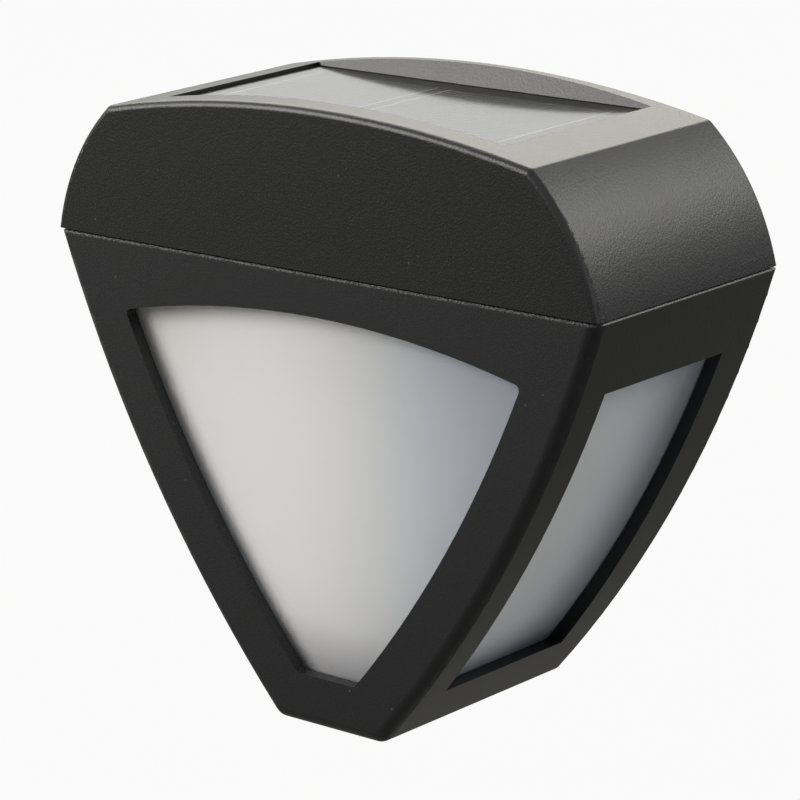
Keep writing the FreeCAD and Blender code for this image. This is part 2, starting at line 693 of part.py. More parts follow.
def make_head_shell():
    """Upper moulding: arched roof with a flat panel recess, open below and behind."""
    body = new_body("head_shell")
    depth = number("housing_depth")
    roof_corner = ("head_corner_half_width", "head_corner_height")
    side = ("head_side_radius", -1)
    roof = ("arch_radius", -1)
    profile = sketch_on(body, "XZ_Plane")
    outline(profile, mirrored([roof_corner, ("housing_width / 2", "0")]),
            {0: side, 2: side, 3: roof})
    pad(profile, "housing_depth")
    recess = sketch_on(body, "XY_Plane", "recess_floor_height")
    rectangle(recess, "-recess_width / 2", "front_rim - housing_depth",
              "recess_width / 2", "-rear_rim")
    pocket(recess, "head_corner_height")
    shell(body, "wall_thick",
          lambda face: flat_at(face.BoundBox, "z", 0) or flat_at(face.BoundBox, "y", 0))
    apron_height = "(plate_top_height + plate_clearance)"
    apron = sketch_on(body, "XZ_Plane")
    outline(apron,
            mirrored([roof_corner, (head_side_x("0", apron_height), apron_height)]),
            {0: side, 2: side, 3: roof})
    pad(apron, "rear_rim")

    recess_underside = "recess_floor_height - wall_thick"
    ribs = sketch_on(body, "XY_Plane", recess_underside)
    for x in ("rib_x", "-rib_x"):
        rectangle(ribs, x + " - rib_thick / 2", "wall_thick / 2 - housing_depth",
                  x + " + rib_thick / 2", "-rib_rear")
    pad(ribs, "rib_height", against_normal=True)
    posts = sketch_on(body, "XY_Plane", "tray_top_height")
    for x, y in POSTS:
        disc(posts, x, y, "post_radius")
    pad(posts, "post_top_height - tray_top_height")
    webs = sketch_on(body, "XY_Plane", "post_web_height")
    for x in ("post_x", "-post_x"):
        rectangle(webs, x + " - web_thick / 2", "wall_thick / 2 - housing_depth",
                  x + " + web_thick / 2", "post_front - housing_depth")
    pad(webs, "post_top_height - post_web_height")
    screw_holes = sketch_on(body, "XY_Plane", "tray_top_height")
    for x, y in POSTS:
        disc(screw_holes, x, y, "tray_screw_radius + screw_clearance")
    pocket(screw_holes, "tray_screw_length - tray_thick + screw_tip_room")
    wall_x = head_side_x("wall_thick / 2", "upper_tower_height")
    towers(body, both_sides("upper_tower_x", "upper_tower_height"), "tower_radius",
           side_webs("upper_tower_x", "upper_tower_height", wall_x))

    groove = sketch_on(body, "XY_Plane")
    u_strip(groove, "tongue_set_in - tongue_clearance", "wall_thick", "0")
    pocket(groove, "tongue_height - seam_gap + gasket_thick")
    lead_hole = sketch_on(body, "XY_Plane", recess_underside)
    disc(lead_hole, "panel_lead_x", "-panel_lead_back", "lead_hole_radius")
    pocket(lead_hole, "wall_thick")
    top = number("head_corner_height")
    round_edges(body, "head_edge_round",
                lambda edge: (flat_at(edge.BoundBox, "y", -depth)
                              and not flat_at(edge.BoundBox, "z", 0))
                or (front_to_back(edge) and near(middle(edge).z, top)))

    def outer_rear_edge(edge):
        spot = middle(edge)
        if not flat_at(edge.BoundBox, "y", 0):
            return False
        if spot.z > number("head_corner_height - head_edge_round"):
            return True
        return edge.Length > 1.5 and near(abs(spot.x), number(head_side_x("0", str(spot.z))))

    round_edges(body, "head_rear_round", outer_rear_edge)
    return body


def make_seam_gasket():
    """Soft strip pressed between the lantern's tongue and the head's groove."""
    body = new_body("seam_gasket")
    strip = sketch_on(body, "XY_Plane", "tongue_height - seam_gap")
    u_strip(strip, "tongue_set_in", "tongue_thick", "head_rear_round")
    pad(strip, "gasket_thick")
    return body


# ---------------------------------------------------------- diffuser, reflector

def diffuser_corner(drop):
    return (side_x("diffuser_inset", minus(drop)), minus(drop))


def make_diffuser():
    """Frosted tub behind the windows, open to the rear and to the lamps above."""
    body = new_body("diffuser")
    rear = number("-diffuser_rear")
    top = number("-diffuser_top_drop")
    front = number("wall_thick + diffuser_front_gap - housing_depth")
    curve = ("body_side_radius - diffuser_inset", -1)
    profile = sketch_on(body, "XZ_Plane", "diffuser_rear")
    outline(profile,
            mirrored([diffuser_corner("diffuser_top_drop"),
                      diffuser_corner("diffuser_bottom_drop")]),
            {0: curve, 2: curve})
    pad(profile, "housing_depth - wall_thick - diffuser_front_gap - diffuser_rear")
    shell(body, "diffuser_thick",
          lambda face: flat_at(face.BoundBox, "z", top) or flat_at(face.BoundBox, "y", rear))
    foot = number("-diffuser_bottom_drop")
    round_edges(body, "diffuser_corner_round",
                lambda edge: front_to_back(edge) and near(middle(edge).z, foot))
    round_edges(body, "diffuser_round",
                lambda edge: flat_at(edge.BoundBox, "y", front)
                and not flat_at(edge.BoundBox, "z", top))
    notch = sketch_on(body, "XY_Plane", "-diffuser_top_drop")
    rectangle(notch, "-housing_width / 2", "-diffuser_rear - notch_depth",
              "housing_width / 2", "0")
    pocket(notch, "notch_height", against_normal=True)
    return body


def make_rear_reflector():
    """White sheet that closes the tub behind, cut away round the upper towers."""
    body = new_body("rear_reflector")
    notch_x = "(middle_tower_x - tower_radius - piece_clearance)"
    notch_drop = "(diffuser_top_drop + notch_height)"
    curve = ("body_side_radius - diffuser_inset", -1)
    profile = sketch_on(body, "XZ_Plane", "diffuser_rear - reflector_thick")
    outline(profile,
            mirrored([(notch_x, "-diffuser_top_drop"), (notch_x, minus(notch_drop)),
                      diffuser_corner(notch_drop), diffuser_corner("diffuser_bottom_drop")]),
            {2: curve, 4: curve})
    pad(profile, "reflector_thick")
    return body


# ------------------------------------------------------------ back plate, screws

def make_back_plate():
    """Rear cover with the keyhole, its closed pocket, the button's cup and ribs."""
    body = new_body("back_plate")
    head_curve = ("head_side_radius - plate_inset", -1)
    body_curve = ("body_side_radius - plate_inset", -1)
    profile = sketch_on(body, "XZ_Plane")
    outline(profile,
            mirrored([(head_side_x("plate_inset", "plate_top_height"), "plate_top_height"),
                      (side_x("plate_inset", "0"), "0"),
                      (side_x("plate_inset", "-plate_bottom_drop"), "-plate_bottom_drop")]),
            {0: head_curve, 1: body_curve, 3: body_curve, 4: head_curve})
    pad(profile, "plate_thick")

    block = sketch_on(body, "XZ_Plane", "plate_thick")
    rectangle(block, "-head_room_half_width - pocket_wall",
              "keyhole_above_seam - head_room_margin - pocket_wall",
              "head_room_half_width + pocket_wall",
              "keyhole_top + head_room_margin + pocket_wall")
    pad(block, "head_room_depth + pocket_wall")
    room = sketch_on(body, "XZ_Plane", "plate_thick")
    rectangle(room, "-head_room_half_width", "keyhole_above_seam - head_room_margin",
              "head_room_half_width", "keyhole_top + head_room_margin")
    pocket(room, "head_room_depth")
    entry = sketch_on(body, "XZ_Plane")
    disc(entry, "0", "keyhole_above_seam", "keyhole_entry_radius")
    pocket(entry, "plate_thick")
    slot = sketch_on(body, "XZ_Plane")
    rectangle(slot, "-keyhole_slot_width / 2", "keyhole_above_seam",
              "keyhole_slot_width / 2", "keyhole_top")
    pocket(slot, "plate_thick")
    slot_end = sketch_on(body, "XZ_Plane")
    disc(slot_end, "0", "keyhole_top", "keyhole_slot_width / 2")
    pocket(slot_end, "plate_thick")

    cup = sketch_on(body, "XZ_Plane", "plate_thick")
    disc(cup, "button_x", "button_above_seam", "cup_radius + cup_wall")
    disc(cup, "button_x", "button_above_seam", "cup_radius")
    pad(cup, "cup_length")
    well = sketch_on(body, "XZ_Plane")
    disc(well, "button_x", "button_above_seam", "button_well_radius")
    pocket(well, "button_well_depth")
    opening = sketch_on(body, "XZ_Plane")
    disc(opening, "button_x", "button_above_seam", "button_radius + button_clearance")
    pocket(opening, "plate_thick")
    switch_back = "(switch_face + switch_depth)"
    arms = sketch_on(body, "XZ_Plane", "switch_face - cup_wall")
    hooks = sketch_on(body, "XZ_Plane", switch_back + " + hook_play")
    for sign in ("+", "-"):
        near_edge = "button_above_seam {0} (switch_height / 2 + hook_play)".format(sign)
        far_edge = near_edge + " {0} hook_thick".format(sign)
        reach = near_edge + " {0} (-hook_reach)".format(sign)
        low, high = (near_edge, far_edge) if sign == "+" else (far_edge, near_edge)
        hook_low, hook_high = (reach, far_edge) if sign == "+" else (far_edge, reach)
        rectangle(arms, "button_x - hook_width / 2", low, "button_x + hook_width / 2", high)
        rectangle(hooks, "button_x - hook_width / 2", hook_low,
                  "button_x + hook_width / 2", hook_high)
    pad(arms, "switch_depth + cup_wall + hook_play + hook_thick")
    pad(hooks, "hook_thick")

    upright_ribs = sketch_on(body, "XZ_Plane", "plate_thick")
    for x in ("plate_rib_x", "-plate_rib_x"):
        rectangle(upright_ribs, x + " - rib_thick / 2", "-plate_rib_bottom_drop",
                  x + " + rib_thick / 2", "-plate_rib_top_drop")
    pad(upright_ribs, "diffuser_rear - reflector_thick - plate_thick")
    cross_ribs = sketch_on(body, "XZ_Plane", "plate_thick")
    for half_width, drop in (("upper_rib_half_width", "upper_rib_drop"),
                             ("lower_rib_half_width", "lower_rib_drop")):
        rectangle(cross_ribs, minus(half_width), minus(drop),
                  half_width, minus(drop) + " + rib_thick")
    pad(cross_ribs, "diffuser_rear - reflector_thick - plate_thick")

    screws = sketch_on(body, "XZ_Plane")
    for x, height in PLATE_SCREWS:
        disc(screws, x, height, "plate_screw_radius + screw_clearance")
    before = volume(body)
    holes = body.newObject("PartDesign::Hole", body.Name + "_screw_holes")
    holes.Profile = screws
    holes.DepthType = "ThroughAll"
    holes.Threaded = False
    holes.HoleCutType = "Counterbore"
    holes.HoleCutCustomValues = True
    holes.Reversed = True
    holes.setExpression("Diameter", bound("2 * (plate_screw_radius + 3 * screw_clearance)"))
    holes.setExpression("HoleCutDiameter",
                        bound("2 * (plate_screw_head_radius + head_room_round_screw)"))
    holes.setExpression("HoleCutDepth", bound("plate_screw_sunk"))
    document.recompute()
    if not volume(body) < before:
        raise RuntimeError("the screw holes change nothing")
    return body


def add_screws(body, plane, seat, places, kind, against_normal=False):
    """Cross-recessed screws. The seat is the level under their heads."""
    face = "{0} {1} {2}_head_thick".format(seat, "+" if against_normal else "-", kind)
    heads = sketch_on(body, plane, face)
    shanks = sketch_on(body, plane, seat)
    for u, v in places:
        disc(heads, u, v, kind + "_head_radius")
        disc(shanks, u, v, kind + "_radius")
    pad(heads, kind + "_head_thick", against_normal)
    pad(shanks, kind + "_length", against_normal)
    for half_u, half_v in (("cross_reach", "cross_width / 2"),
                           ("cross_width / 2", "cross_reach")):
        slots = sketch_on(body, plane, face)
        for u, v in places:
            rectangle(slots, "{0} - {1}".format(u, half_u), "{0} - {1}".format(v, half_v),
                      "{0} + {1}".format(u, half_u), "{0} + {1}".format(v, half_v))
        pocket(slots, "cross_depth", against_normal)


def bevel_tips(body, radius):
    """Bevel the free ends of the shanks of one radius."""
    discs = [face for face in local_shape(body).Faces
             if isinstance(face.Surface, Part.Plane)
             and near(face.Area, math.pi * number(radius) ** 2)]

    def at_tip(edge):
        return (isinstance(edge.Curve, Part.Circle)
                and any(disc_face.CenterOfMass.sub(edge.Curve.Center).Length < 0.01
                        for disc_face in discs))

    bevel_edges(body, "screw_tip_bevel", at_tip)


def make_back_plate_screws():
    """Six screws, sunk into the back plate."""
    body = new_body("back_plate_screws")
    add_screws(body, "XZ_Plane", "plate_screw_sunk", PLATE_SCREWS, "plate_screw")
    bevel_tips(body, "plate_screw_radius")
    return body


# --------------------------------------------------------- tray and light source

def board_screw_places():
    return both_sides("board_screw_x", "-led_board_back")


def standoff_places():
    left = "(control_left + standoff_inset)"
    right = "(control_left + control_length - standoff_inset)"
    front = "(control_front - housing_depth + standoff_inset)"
    rear = "(control_front - housing_depth + control_width - standoff_inset)"
    return [(left, front), (right, rear)]


def peg_places():
    return [("-peg_left_x", "-battery_back"), ("0", "-battery_back")]


def make_led_tray():
    """Skirted tray under the head that carries lamps, battery and control board."""
    body = new_body("led_tray")
    skirt_bottom = "tray_underside - tray_skirt_depth"
    plan = sketch_on(body, "XY_Plane", skirt_bottom)
    rectangle(plan, "-tray_half_width", "tray_front - housing_depth",
              "tray_half_width", "-tray_rear")
    pad(plan, "tray_thick + tray_skirt_depth")
    round_edges(body, "tray_corner_round", upright)
    hollow = sketch_on(body, "XY_Plane", skirt_bottom)
    rectangle(hollow, "tray_skirt_thick - tray_half_width",
              "tray_front + tray_skirt_thick - housing_depth",
              "tray_half_width - tray_skirt_thick", "-tray_rear - tray_skirt_thick")
    pocket(hollow, "tray_skirt_depth")
    nipples = sketch_on(body, "XY_Plane", "tray_top_height")
    for x, y in board_screw_places():
        disc(nipples, x, y, "nipple_radius")
    pad(nipples, "nipple_height")
    standoffs = sketch_on(body, "XY_Plane", "tray_top_height")
    for x, y in standoff_places():
        disc(standoffs, x, y, "standoff_radius")
    pad(standoffs, "standoff_height")

    through = sketch_on(body, "XY_Plane", "tray_underside")
    for x, y in POSTS:
        disc(through, x, y, "tray_screw_radius + 3 * screw_clearance")
    for x, y in peg_places():
        disc(through, x, y, "peg_radius + screw_clearance")
    disc(through, "lamp_lead_x", "-led_board_back", "lead_hole_radius")
    pocket(through, "tray_thick")
    from_below = sketch_on(body, "XY_Plane", "tray_underside")
    for x, y in board_screw_places():
        disc(from_below, x, y, "board_screw_radius + screw_clearance")
    pocket(from_below, "board_screw_length - led_board_thick + screw_tip_room")
    from_above = sketch_on(body, "XY_Plane", "control_underside")
    for x, y in standoff_places():
        disc(from_above, x, y, "board_screw_radius + screw_clearance")
    pocket(from_above, "board_screw_length - control_thick + screw_tip_room",
           against_normal=True)
    return body


def make_tray_screws():
    """Four screws that hold the tray against the head's posts."""
    body = new_body("tray_screws")
    add_screws(body, "XY_Plane", "tray_underside", POSTS, "tray_screw")
    bevel_tips(body, "tray_screw_radius")
    return body


def make_board_screws():
    """Two screws under the strip board and two on the control board."""
    body = new_body("board_screws")
    add_screws(body, "XY_Plane", "(tray_underside - led_board_thick)",
               board_screw_places(), "board_screw")
    add_screws(body, "XY_Plane", "control_top", standoff_places(), "board_screw",
               against_normal=True)
    bevel_tips(body, "board_screw_radius")
    return body


def make_led_board():
    """Strip board under the tray."""
    body = new_body("led_board")
    plan = sketch_on(body, "XY_Plane", "tray_underside - led_board_thick")
    rectangle(plan, "-led_board_length / 2", "-led_board_back - led_board_width / 2",
              "led_board_length / 2", "-led_board_back + led_board_width / 2")
    for x, y in board_screw_places():
        disc(plan, x, y, "board_screw_radius + 3 * screw_clearance")
    pad(plan, "led_board_thick")
    return body


def make_leds():
    """Four lamps under the strip board, each a square body with a low dome."""
    body = new_body("leds")
    board_face = "tray_underside - led_board_thick"
    places = [("{0} * led_spacing".format(step), "-led_board_back")
              for step in (-1.5, -0.5, 0.5, 1.5)]
    bodies = sketch_on(body, "XY_Plane", board_face)
    domes = sketch_on(body, "XY_Plane", board_face + " - led_thick")
    for x, y in places:
        rectangle(bodies, x + " - led_length / 2", y + " - led_width / 2",
                  x + " + led_length / 2", y + " + led_width / 2")
        disc(domes, x, y, "led_dome_radius")
    pad(bodies, "led_thick", against_normal=True)
    pad(domes, "led_dome_height", against_normal=True)
    lowest = number(board_face + " - led_thick - led_dome_height")
    bevel_edges(body, "led_dome_bevel", lambda edge: flat_at(edge.BoundBox, "z", lowest))
    return body


# -------------------------------------------------------------------- battery

def make_battery_cell():
    """Size AAA cell lying across the lantern, nub to the right."""
    body = new_body("battery_cell")
    can = sketch_on(body, "YZ_Plane", "-battery_left")
    disc(can, "-battery_back", "cell_axis_height", "cell_radius")
    pad(can, "cell_length")
    nub = sketch_on(body, "YZ_Plane", "cell_length - battery_left")
    disc(nub, "-battery_back", "cell_axis_height", "nub_radius")
    pad(nub, "nub_length")
    rims = (number("cell_radius"), number("nub_radius"))
    shoulder = number("cell_length - battery_left")

    def rim(edge):
        if not isinstance(edge.Curve, Part.Circle):
            return False
        at_shoulder = near(edge.Curve.Center.x, shoulder)
        return near(edge.Curve.Radius, rims[0]) or not at_shoulder

    bevel_edges(body, "cell_bevel", rim)
    return body


def make_battery_holder():
    """Open box for the cell, pegged into the tray, with finger notches."""
    body = new_body("battery_holder")
    front = "-battery_back - holder_half_width"
    rear = "-battery_back + holder_half_width"
    block = sketch_on(body, "XY_Plane", "tray_top_height")
    rectangle(block, "-holder_left - holder_wall", front, "holder_right + holder_wall", rear)
    pad(block, "holder_end_height")
    hollow = sketch_on(body, "XY_Plane", "tray_top_height + holder_floor")
    rectangle(hollow, "-holder_left", front + " + holder_wall",
              "holder_right", rear + " - holder_wall")
    pocket(hollow, "holder_end_height")
    over_walls = sketch_on(body, "XY_Plane", "tray_top_height + holder_side_height")
    rectangle(over_walls, "-holder_left", front + " - holder_wall",
              "holder_right", rear + " + holder_wall")
    pocket(over_walls, "holder_end_height")
    notch = sketch_on(body, "XY_Plane", "tray_top_height + notch_floor")
    rectangle(notch, "-notch_left_x", front + " - holder_wall",
              "notch_width - notch_left_x", rear + " + holder_wall")
    pocket(notch, "holder_side_height")
    pegs = sketch_on(body, "XY_Plane", "tray_top_height")
    for x, y in peg_places():
        disc(pegs, x, y, "peg_radius")
    pad(pegs, "tray_thick", against_normal=True)
    return body


def contact_sheet(body, left_face):
    """Sheet contact in an end wall, with a narrower solder tab above the wall."""
    foot = "(tray_top_height + holder_floor)"
    sheet_plane = sketch_on(body, "YZ_Plane", left_face)
    right_side = [("-battery_back + tab_width / 2", foot + " + contact_height + tab_height"),
                  ("-battery_back + tab_width / 2", foot + " + contact_height"),
                  ("-battery_back + contact_width / 2", foot + " + contact_height"),
                  ("-battery_back + contact_width / 2", foot)]
    left_side = [("-2 * battery_back - ({0})".format(u), v) for u, v in reversed(right_side)]
    outline(sheet_plane, right_side + left_side)
    pad(sheet_plane, "contact_thick")


def make_battery_contact_plus():
    """Sheet contact at the cell's nub."""
    body = new_body("battery_contact_plus")
    contact_sheet(body, "cell_length + nub_length - battery_left")
    return body


def make_battery_contact_minus():
    """Sheet contact behind the spring."""
    body = new_body("battery_contact_minus")
    contact_sheet(body, "-holder_left")
    return body


def make_battery_spring():
    """Coil spring between its sheet contact and the cell's flat end."""
    wire = number("spring_wire_radius")
    radius = number("spring_coil_radius")
    turns = int(number("spring_turns"))
    rise = number("spring_room") - 2 * wire
    foot = FreeCAD.Vector(number("-battery_left - spring_room") + wire,
                          number("-battery_back"), number("cell_axis_height"))

    def along(turn):
        angle = 2 * math.pi * turn
        return foot.add(FreeCAD.Vector(rise * turn / turns, radius * math.cos(angle),
                                       radius * math.sin(angle)))

    half_turns = [Part.Arc(along(i / 2), along(i / 2 + 0.25), along(i / 2 + 0.5)).toShape()
                  for i in range(2 * turns)]
    wire_end = Part.Wire(Part.makeCircle(wire, along(0), FreeCAD.Vector(0, 0, 1)))
    coil = Part.Wire(half_turns).makePipeShell([wire_end], True, False)
    return plain_feature("battery_spring", coil)


# --------------------------------------------------------------- control board

def make_control_board():
    """Small board on two standoffs."""
    body = new_body("control_board")
    plan = sketch_on(body, "XY_Plane", "control_underside")
    rectangle(plan, "control_left", "control_front - housing_depth",
              "control_left + control_length",
              "control_front - housing_depth + control_width")
    for x, y in standoff_places():
        disc(plan, x, y, "board_screw_radius + 3 * screw_clearance")
    pad(plan, "control_thick")
    return body


def make_board_components():
    """Driver chip, coil, capacitor and three chip resistors."""
    body = new_body("board_components")

    def place(u, v):
        return ("control_left + " + u, "control_front - housing_depth + " + v)

    def block(at_u, at_v, length, width, height):
        x, y = place(at_u, at_v)
        base = sketch_on(body, "XY_Plane", "control_top")
        rectangle(base, x, y, x + " + " + length, y + " + " + width)
        pad(base, height)

    block("chip_u", "chip_v", "chip_length", "chip_width", "chip_height")
    for step in range(3):
        along = "resistor_v + {0} * resistor_pitch".format(step)
        block("resistor_u", along, "resistor_length", "resistor_width", "resistor_height")
    for u, v, radius, height in (("coil_u", "coil_v", "coil_radius", "coil_height"),
                                 ("can_u", "can_v", "can_radius", "can_height")):
        x, y = place(u, v)
        base = sketch_on(body, "XY_Plane", "control_top")
        disc(base, x, y, radius)
        pad(base, height)
    return body


# ------------------------------------------------------------ switch and button

def make_switch_body():
    """Push switch housing behind the plate's cup."""
    body = new_body("switch_body")
    profile = sketch_on(body, "XZ_Plane", "switch_face")
    rectangle(profile, "button_x - switch_width / 2", "button_above_seam - switch_height / 2",
              "button_x + switch_width / 2", "button_above_seam + switch_height / 2")
    pad(profile, "switch_depth")
    round_edges(body, "switch_round", front_to_back)
    bore = sketch_on(body, "XZ_Plane", "switch_face")
    disc(bore, "button_x", "button_above_seam", "plunger_radius + plunger_clearance")
    pocket(bore, "plunger_in_switch + button_travel + piece_clearance")
    return body


def make_switch_terminals():
    """Two solder pins on the switch's back."""
    body = new_body("switch_terminals")
    pins = sketch_on(body, "XZ_Plane", "switch_face + switch_depth")
    for sign in ("-", "+"):
        x = "button_x {0} terminal_x".format(sign)
        rectangle(pins, x + " - terminal_width / 2", "button_above_seam - terminal_thick / 2",
                  x + " + terminal_width / 2", "button_above_seam + terminal_thick / 2")
    pad(pins, "terminal_length")
    return body


def make_switch_plunger():
    """Plunger between the switch and the button's socket."""
    body = new_body("switch_plunger")
    rod = sketch_on(body, "XZ_Plane", "hub_end - plunger_in_hub")
    disc(rod, "button_x", "button_above_seam", "plunger_radius")
    pad(rod, "switch_face + plunger_in_switch - hub_end + plunger_in_hub")
    return body


def make_power_button():
    """Button cap with a collar that keeps it in and a socket for the plunger."""
    body = new_body("power_button")
    cap = sketch_on(body, "XZ_Plane", "button_sunk")
    disc(cap, "button_x", "button_above_seam", "button_radius")
    pad(cap, "collar_face - button_sunk")
    collar = sketch_on(body, "XZ_Plane", "collar_face")
    disc(collar, "button_x", "button_above_seam", "button_flange_radius")
    pad(collar, "button_flange_thick")
    hub = sketch_on(body, "XZ_Plane", "collar_face + button_flange_thick")
    disc(hub, "button_x", "button_above_seam", "button_hub_radius")
    pad(hub, "button_hub_length")
    socket = sketch_on(body, "XZ_Plane", "hub_end")
    disc(socket, "button_x", "button_above_seam", "plunger_radius + plunger_clearance / 2")
    pocket(socket, "plunger_in_hub", against_normal=True)
    face = number("-button_sunk")
    round_edges(body, "button_face_round", lambda edge: flat_at(edge.BoundBox, "y", face))
    return body


# ---------------------------------------------------------------- solar panel

def panel_rectangle(sketch, margin):
    """The recess's plan, inset by a margin all round."""
    rectangle(sketch, "-recess_width / 2 + " + margin, "front_rim - housing_depth + " + margin,
              "recess_width / 2 - " + margin, "-rear_rim - " + margin)


def cell_rectangles(sketch):
    """Plan of the two cells, either side of the gap between them."""
    margin = "(panel_clearance + cell_margin)"
    front = "front_rim - housing_depth + " + margin
    rear = "-rear_rim - " + margin
    rectangle(sketch, "-recess_width / 2 + " + margin, front,
              "-cell_split - cell_gap / 2", rear)
    rectangle(sketch, "-cell_split + cell_gap / 2", front,
              "recess_width / 2 - " + margin, rear)


def make_solar_board():
    """Board in the roof's recess."""
    body = new_body("solar_board")
    plan = sketch_on(body, "XY_Plane", "board_underside")
    panel_rectangle(plan, "panel_clearance")
    pad(plan, "solar_board_thick")
    return body


def make_solar_cells():
    """Two cells on the board."""
    body = new_body("solar_cells")
    plan = sketch_on(body, "XY_Plane", "board_top")
    cell_rectangles(plan)
    pad(plan, "cell_thick")
    return body


def make_panel_resin():
    """Clear coat over the cells, with a rounded border."""
    body = new_body("panel_resin")
    plan = sketch_on(body, "XY_Plane", "board_top")
    panel_rectangle(plan, "panel_clearance")
    pad(plan, "resin_thick")
    cells = sketch_on(body, "XY_Plane", "board_top")
    cell_rectangles(cells)
    pocket(cells, "cell_thick")
    top = number("panel_top_height")
    round_edges(body, "resin_round", lambda edge: flat_at(edge.BoundBox, "z", top))
    return body


def make_panel_sealant():
    """Bead between the board and the recess floor."""
    body = new_body("panel_sealant")
    ring = sketch_on(body, "XY_Plane", "recess_floor_height")
    panel_rectangle(ring, "2 * panel_clearance")
    panel_rectangle(ring, "(2 * panel_clearance + sealant_width)")
    pad(ring, "sealant_thick")
    return body


# ----------------------------------------------------------------------- leads

def lead(corners):
    """An insulated lead along straight runs, bent at each corner between them."""
    points = [FreeCAD.Vector(*[number(value) for value in corner]) for corner in corners]
    share = number("lead_bend_share")
    edges = []
    start = points[0]
    for before, corner, after in zip(points, points[1:], points[2:]):
        inward = corner.sub(before).normalize()
        outward = after.sub(corner).normalize()
        reach = share * min(corner.sub(before).Length, after.sub(corner).Length)
        bend = reach / math.tan(inward.getAngle(outward) / 2)
        bend_start = corner.sub(FreeCAD.Vector(inward).multiply(reach))
        bend_end = corner.add(FreeCAD.Vector(outward).multiply(reach))
        along = FreeCAD.Vector(inward).multiply(inward.dot(outward))
        centre = bend_start.add(outward.sub(along).normalize().multiply(bend))
        top = centre.add(corner.sub(centre).normalize().multiply(bend))
        edges.append(Part.LineSegment(start, bend_start).toShape())
        edges.append(Part.Arc(bend_start, top, bend_end).toShape())
        start = bend_end
    edges.append(Part.LineSegment(start, points[-1]).toShape())
    direction = points[1].sub(points[0])
    end_face = Part.Wire(Part.makeCircle(number("lead_radius"), points[0], direction))
    return Part.Wire(edges).makePipeShell([end_face], True, False)


def make_solar_leads():
    """Two leads from the solar board through the recess floor to the control board."""
    leads = []
    for sign in ("-", "+"):
        x = "panel_lead_x {0} lead_pitch / 2".format(sign)
        landing = "-panel_lead_back - panel_lead_jog"
        leads.append(lead([(x, "-panel_lead_back", "board_underside"),
                           (x, "-panel_lead_back", "panel_lead_jog_height"),
                           (x, landing, "panel_lead_jog_height - panel_lead_jog"),
                           (x, landing, "control_top")]))
    return plain_feature("solar_leads", Part.makeCompound(leads))


def make_battery_leads():
    """Leads from the two contacts of the battery holder to the control board."""
    tab_height = "tray_top_height + holder_floor + contact_height + tab_height * 0.75"
    landing_x = "control_left + landing_inset"
    plus = lead([("holder_right", "-battery_back", tab_height),
                 (landing_x, "-battery_back", tab_height),
                 (landing_x, "-battery_back", "control_top")])
    lane_y = "-battery_back + holder_half_width + 2 * lead_radius"
    lane_height = "tray_top_height + 2.5 * lead_radius"
    corner_x = "-holder_left - holder_wall - lead_stand_off"
    rise_x = "control_left - lead_stand_off - lead_radius"
    minus_lead = lead([("-holder_left", "-battery_back", tab_height),
                       (corner_x, "-battery_back", tab_height),
                       (corner_x, lane_y, tab_height),
                       (corner_x, lane_y, lane_height),
                       (rise_x, lane_y, lane_height),
                       (rise_x, lane_y, "control_top + lead_lift"),
                       (landing_x, lane_y, "control_top + lead_lift"),
                       (landing_x, lane_y, "control_top")])
    return plain_feature("battery_leads", Part.makeCompound([plus, minus_lead]))


def make_led_leads():
    """Two leads from the strip board through the tray to the control board."""
    leads = []
    for sign in ("-", "+"):
        y = "-led_board_back {0} lead_pitch / 2".format(sign)
        leads.append(lead([("lamp_lead_x", y, "tray_underside"),
                           ("lamp_lead_x", y, "control_top + lead_lift"),
                           ("control_left + landing_inset", y, "control_top + lead_lift"),
                           ("control_left + landing_inset", y, "control_top")]))
    return plain_feature("led_leads", Part.makeCompound(leads))


def make_switch_leads():
    """Two leads from the switch's pins to the control board."""
    rear = "-switch_face - switch_depth - terminal_length"
    landing = "control_front - housing_depth + control_width - landing_inset"
    leads = []
    for sign in ("-", "+"):
        x = "button_x {0} terminal_x".format(sign)
        leads.append(lead([(x, rear, "button_above_seam"), (x, landing, "button_above_seam"),
                           (x, landing, "control_top")]))
    return plain_feature("switch_leads", Part.makeCompound(leads))


# ----------------------------------------------------- build, check and export

MAKERS = (
    make_head_shell, make_lantern_frame, make_seam_gasket, make_diffuser,
    make_rear_reflector, make_back_plate, make_back_plate_screws, make_led_tray,
    make_tray_screws, make_led_board, make_leds, make_board_screws, make_battery_cell,
    make_battery_holder, make_battery_contact_plus, make_battery_contact_minus,
    make_battery_spring, make_control_board, make_board_components, make_switch_body,
    make_switch_terminals, make_switch_plunger, make_power_button, make_solar_board,
    make_solar_cells, make_panel_resin, make_panel_sealant, make_solar_leads,
    make_battery_leads, make_led_leads, make_switch_leads)

pieces = [make() for make in MAKERS]
document.recompute()
for item in document.Objects:
    if "Invalid" in item.State or "Error" in item.State:
        raise RuntimeError(item.Name + " did not recompute")
os.makedirs("parts", exist_ok=True)
for piece in pieces:
    shape = piece.Shape
    if shape.isNull() or not shape.isValid() or not shape.Solids:
        raise RuntimeError(piece.Label + " is not a sound solid")
    shape.exportStep(os.path.join("parts", piece.Label + ".step"))
    print("%s: %d solids, %.1f mm3" % (piece.Label, len(shape.Solids), shape.Volume))
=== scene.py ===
import json
import math

import bmesh
import bpy
from mathutils import Matrix, Vector

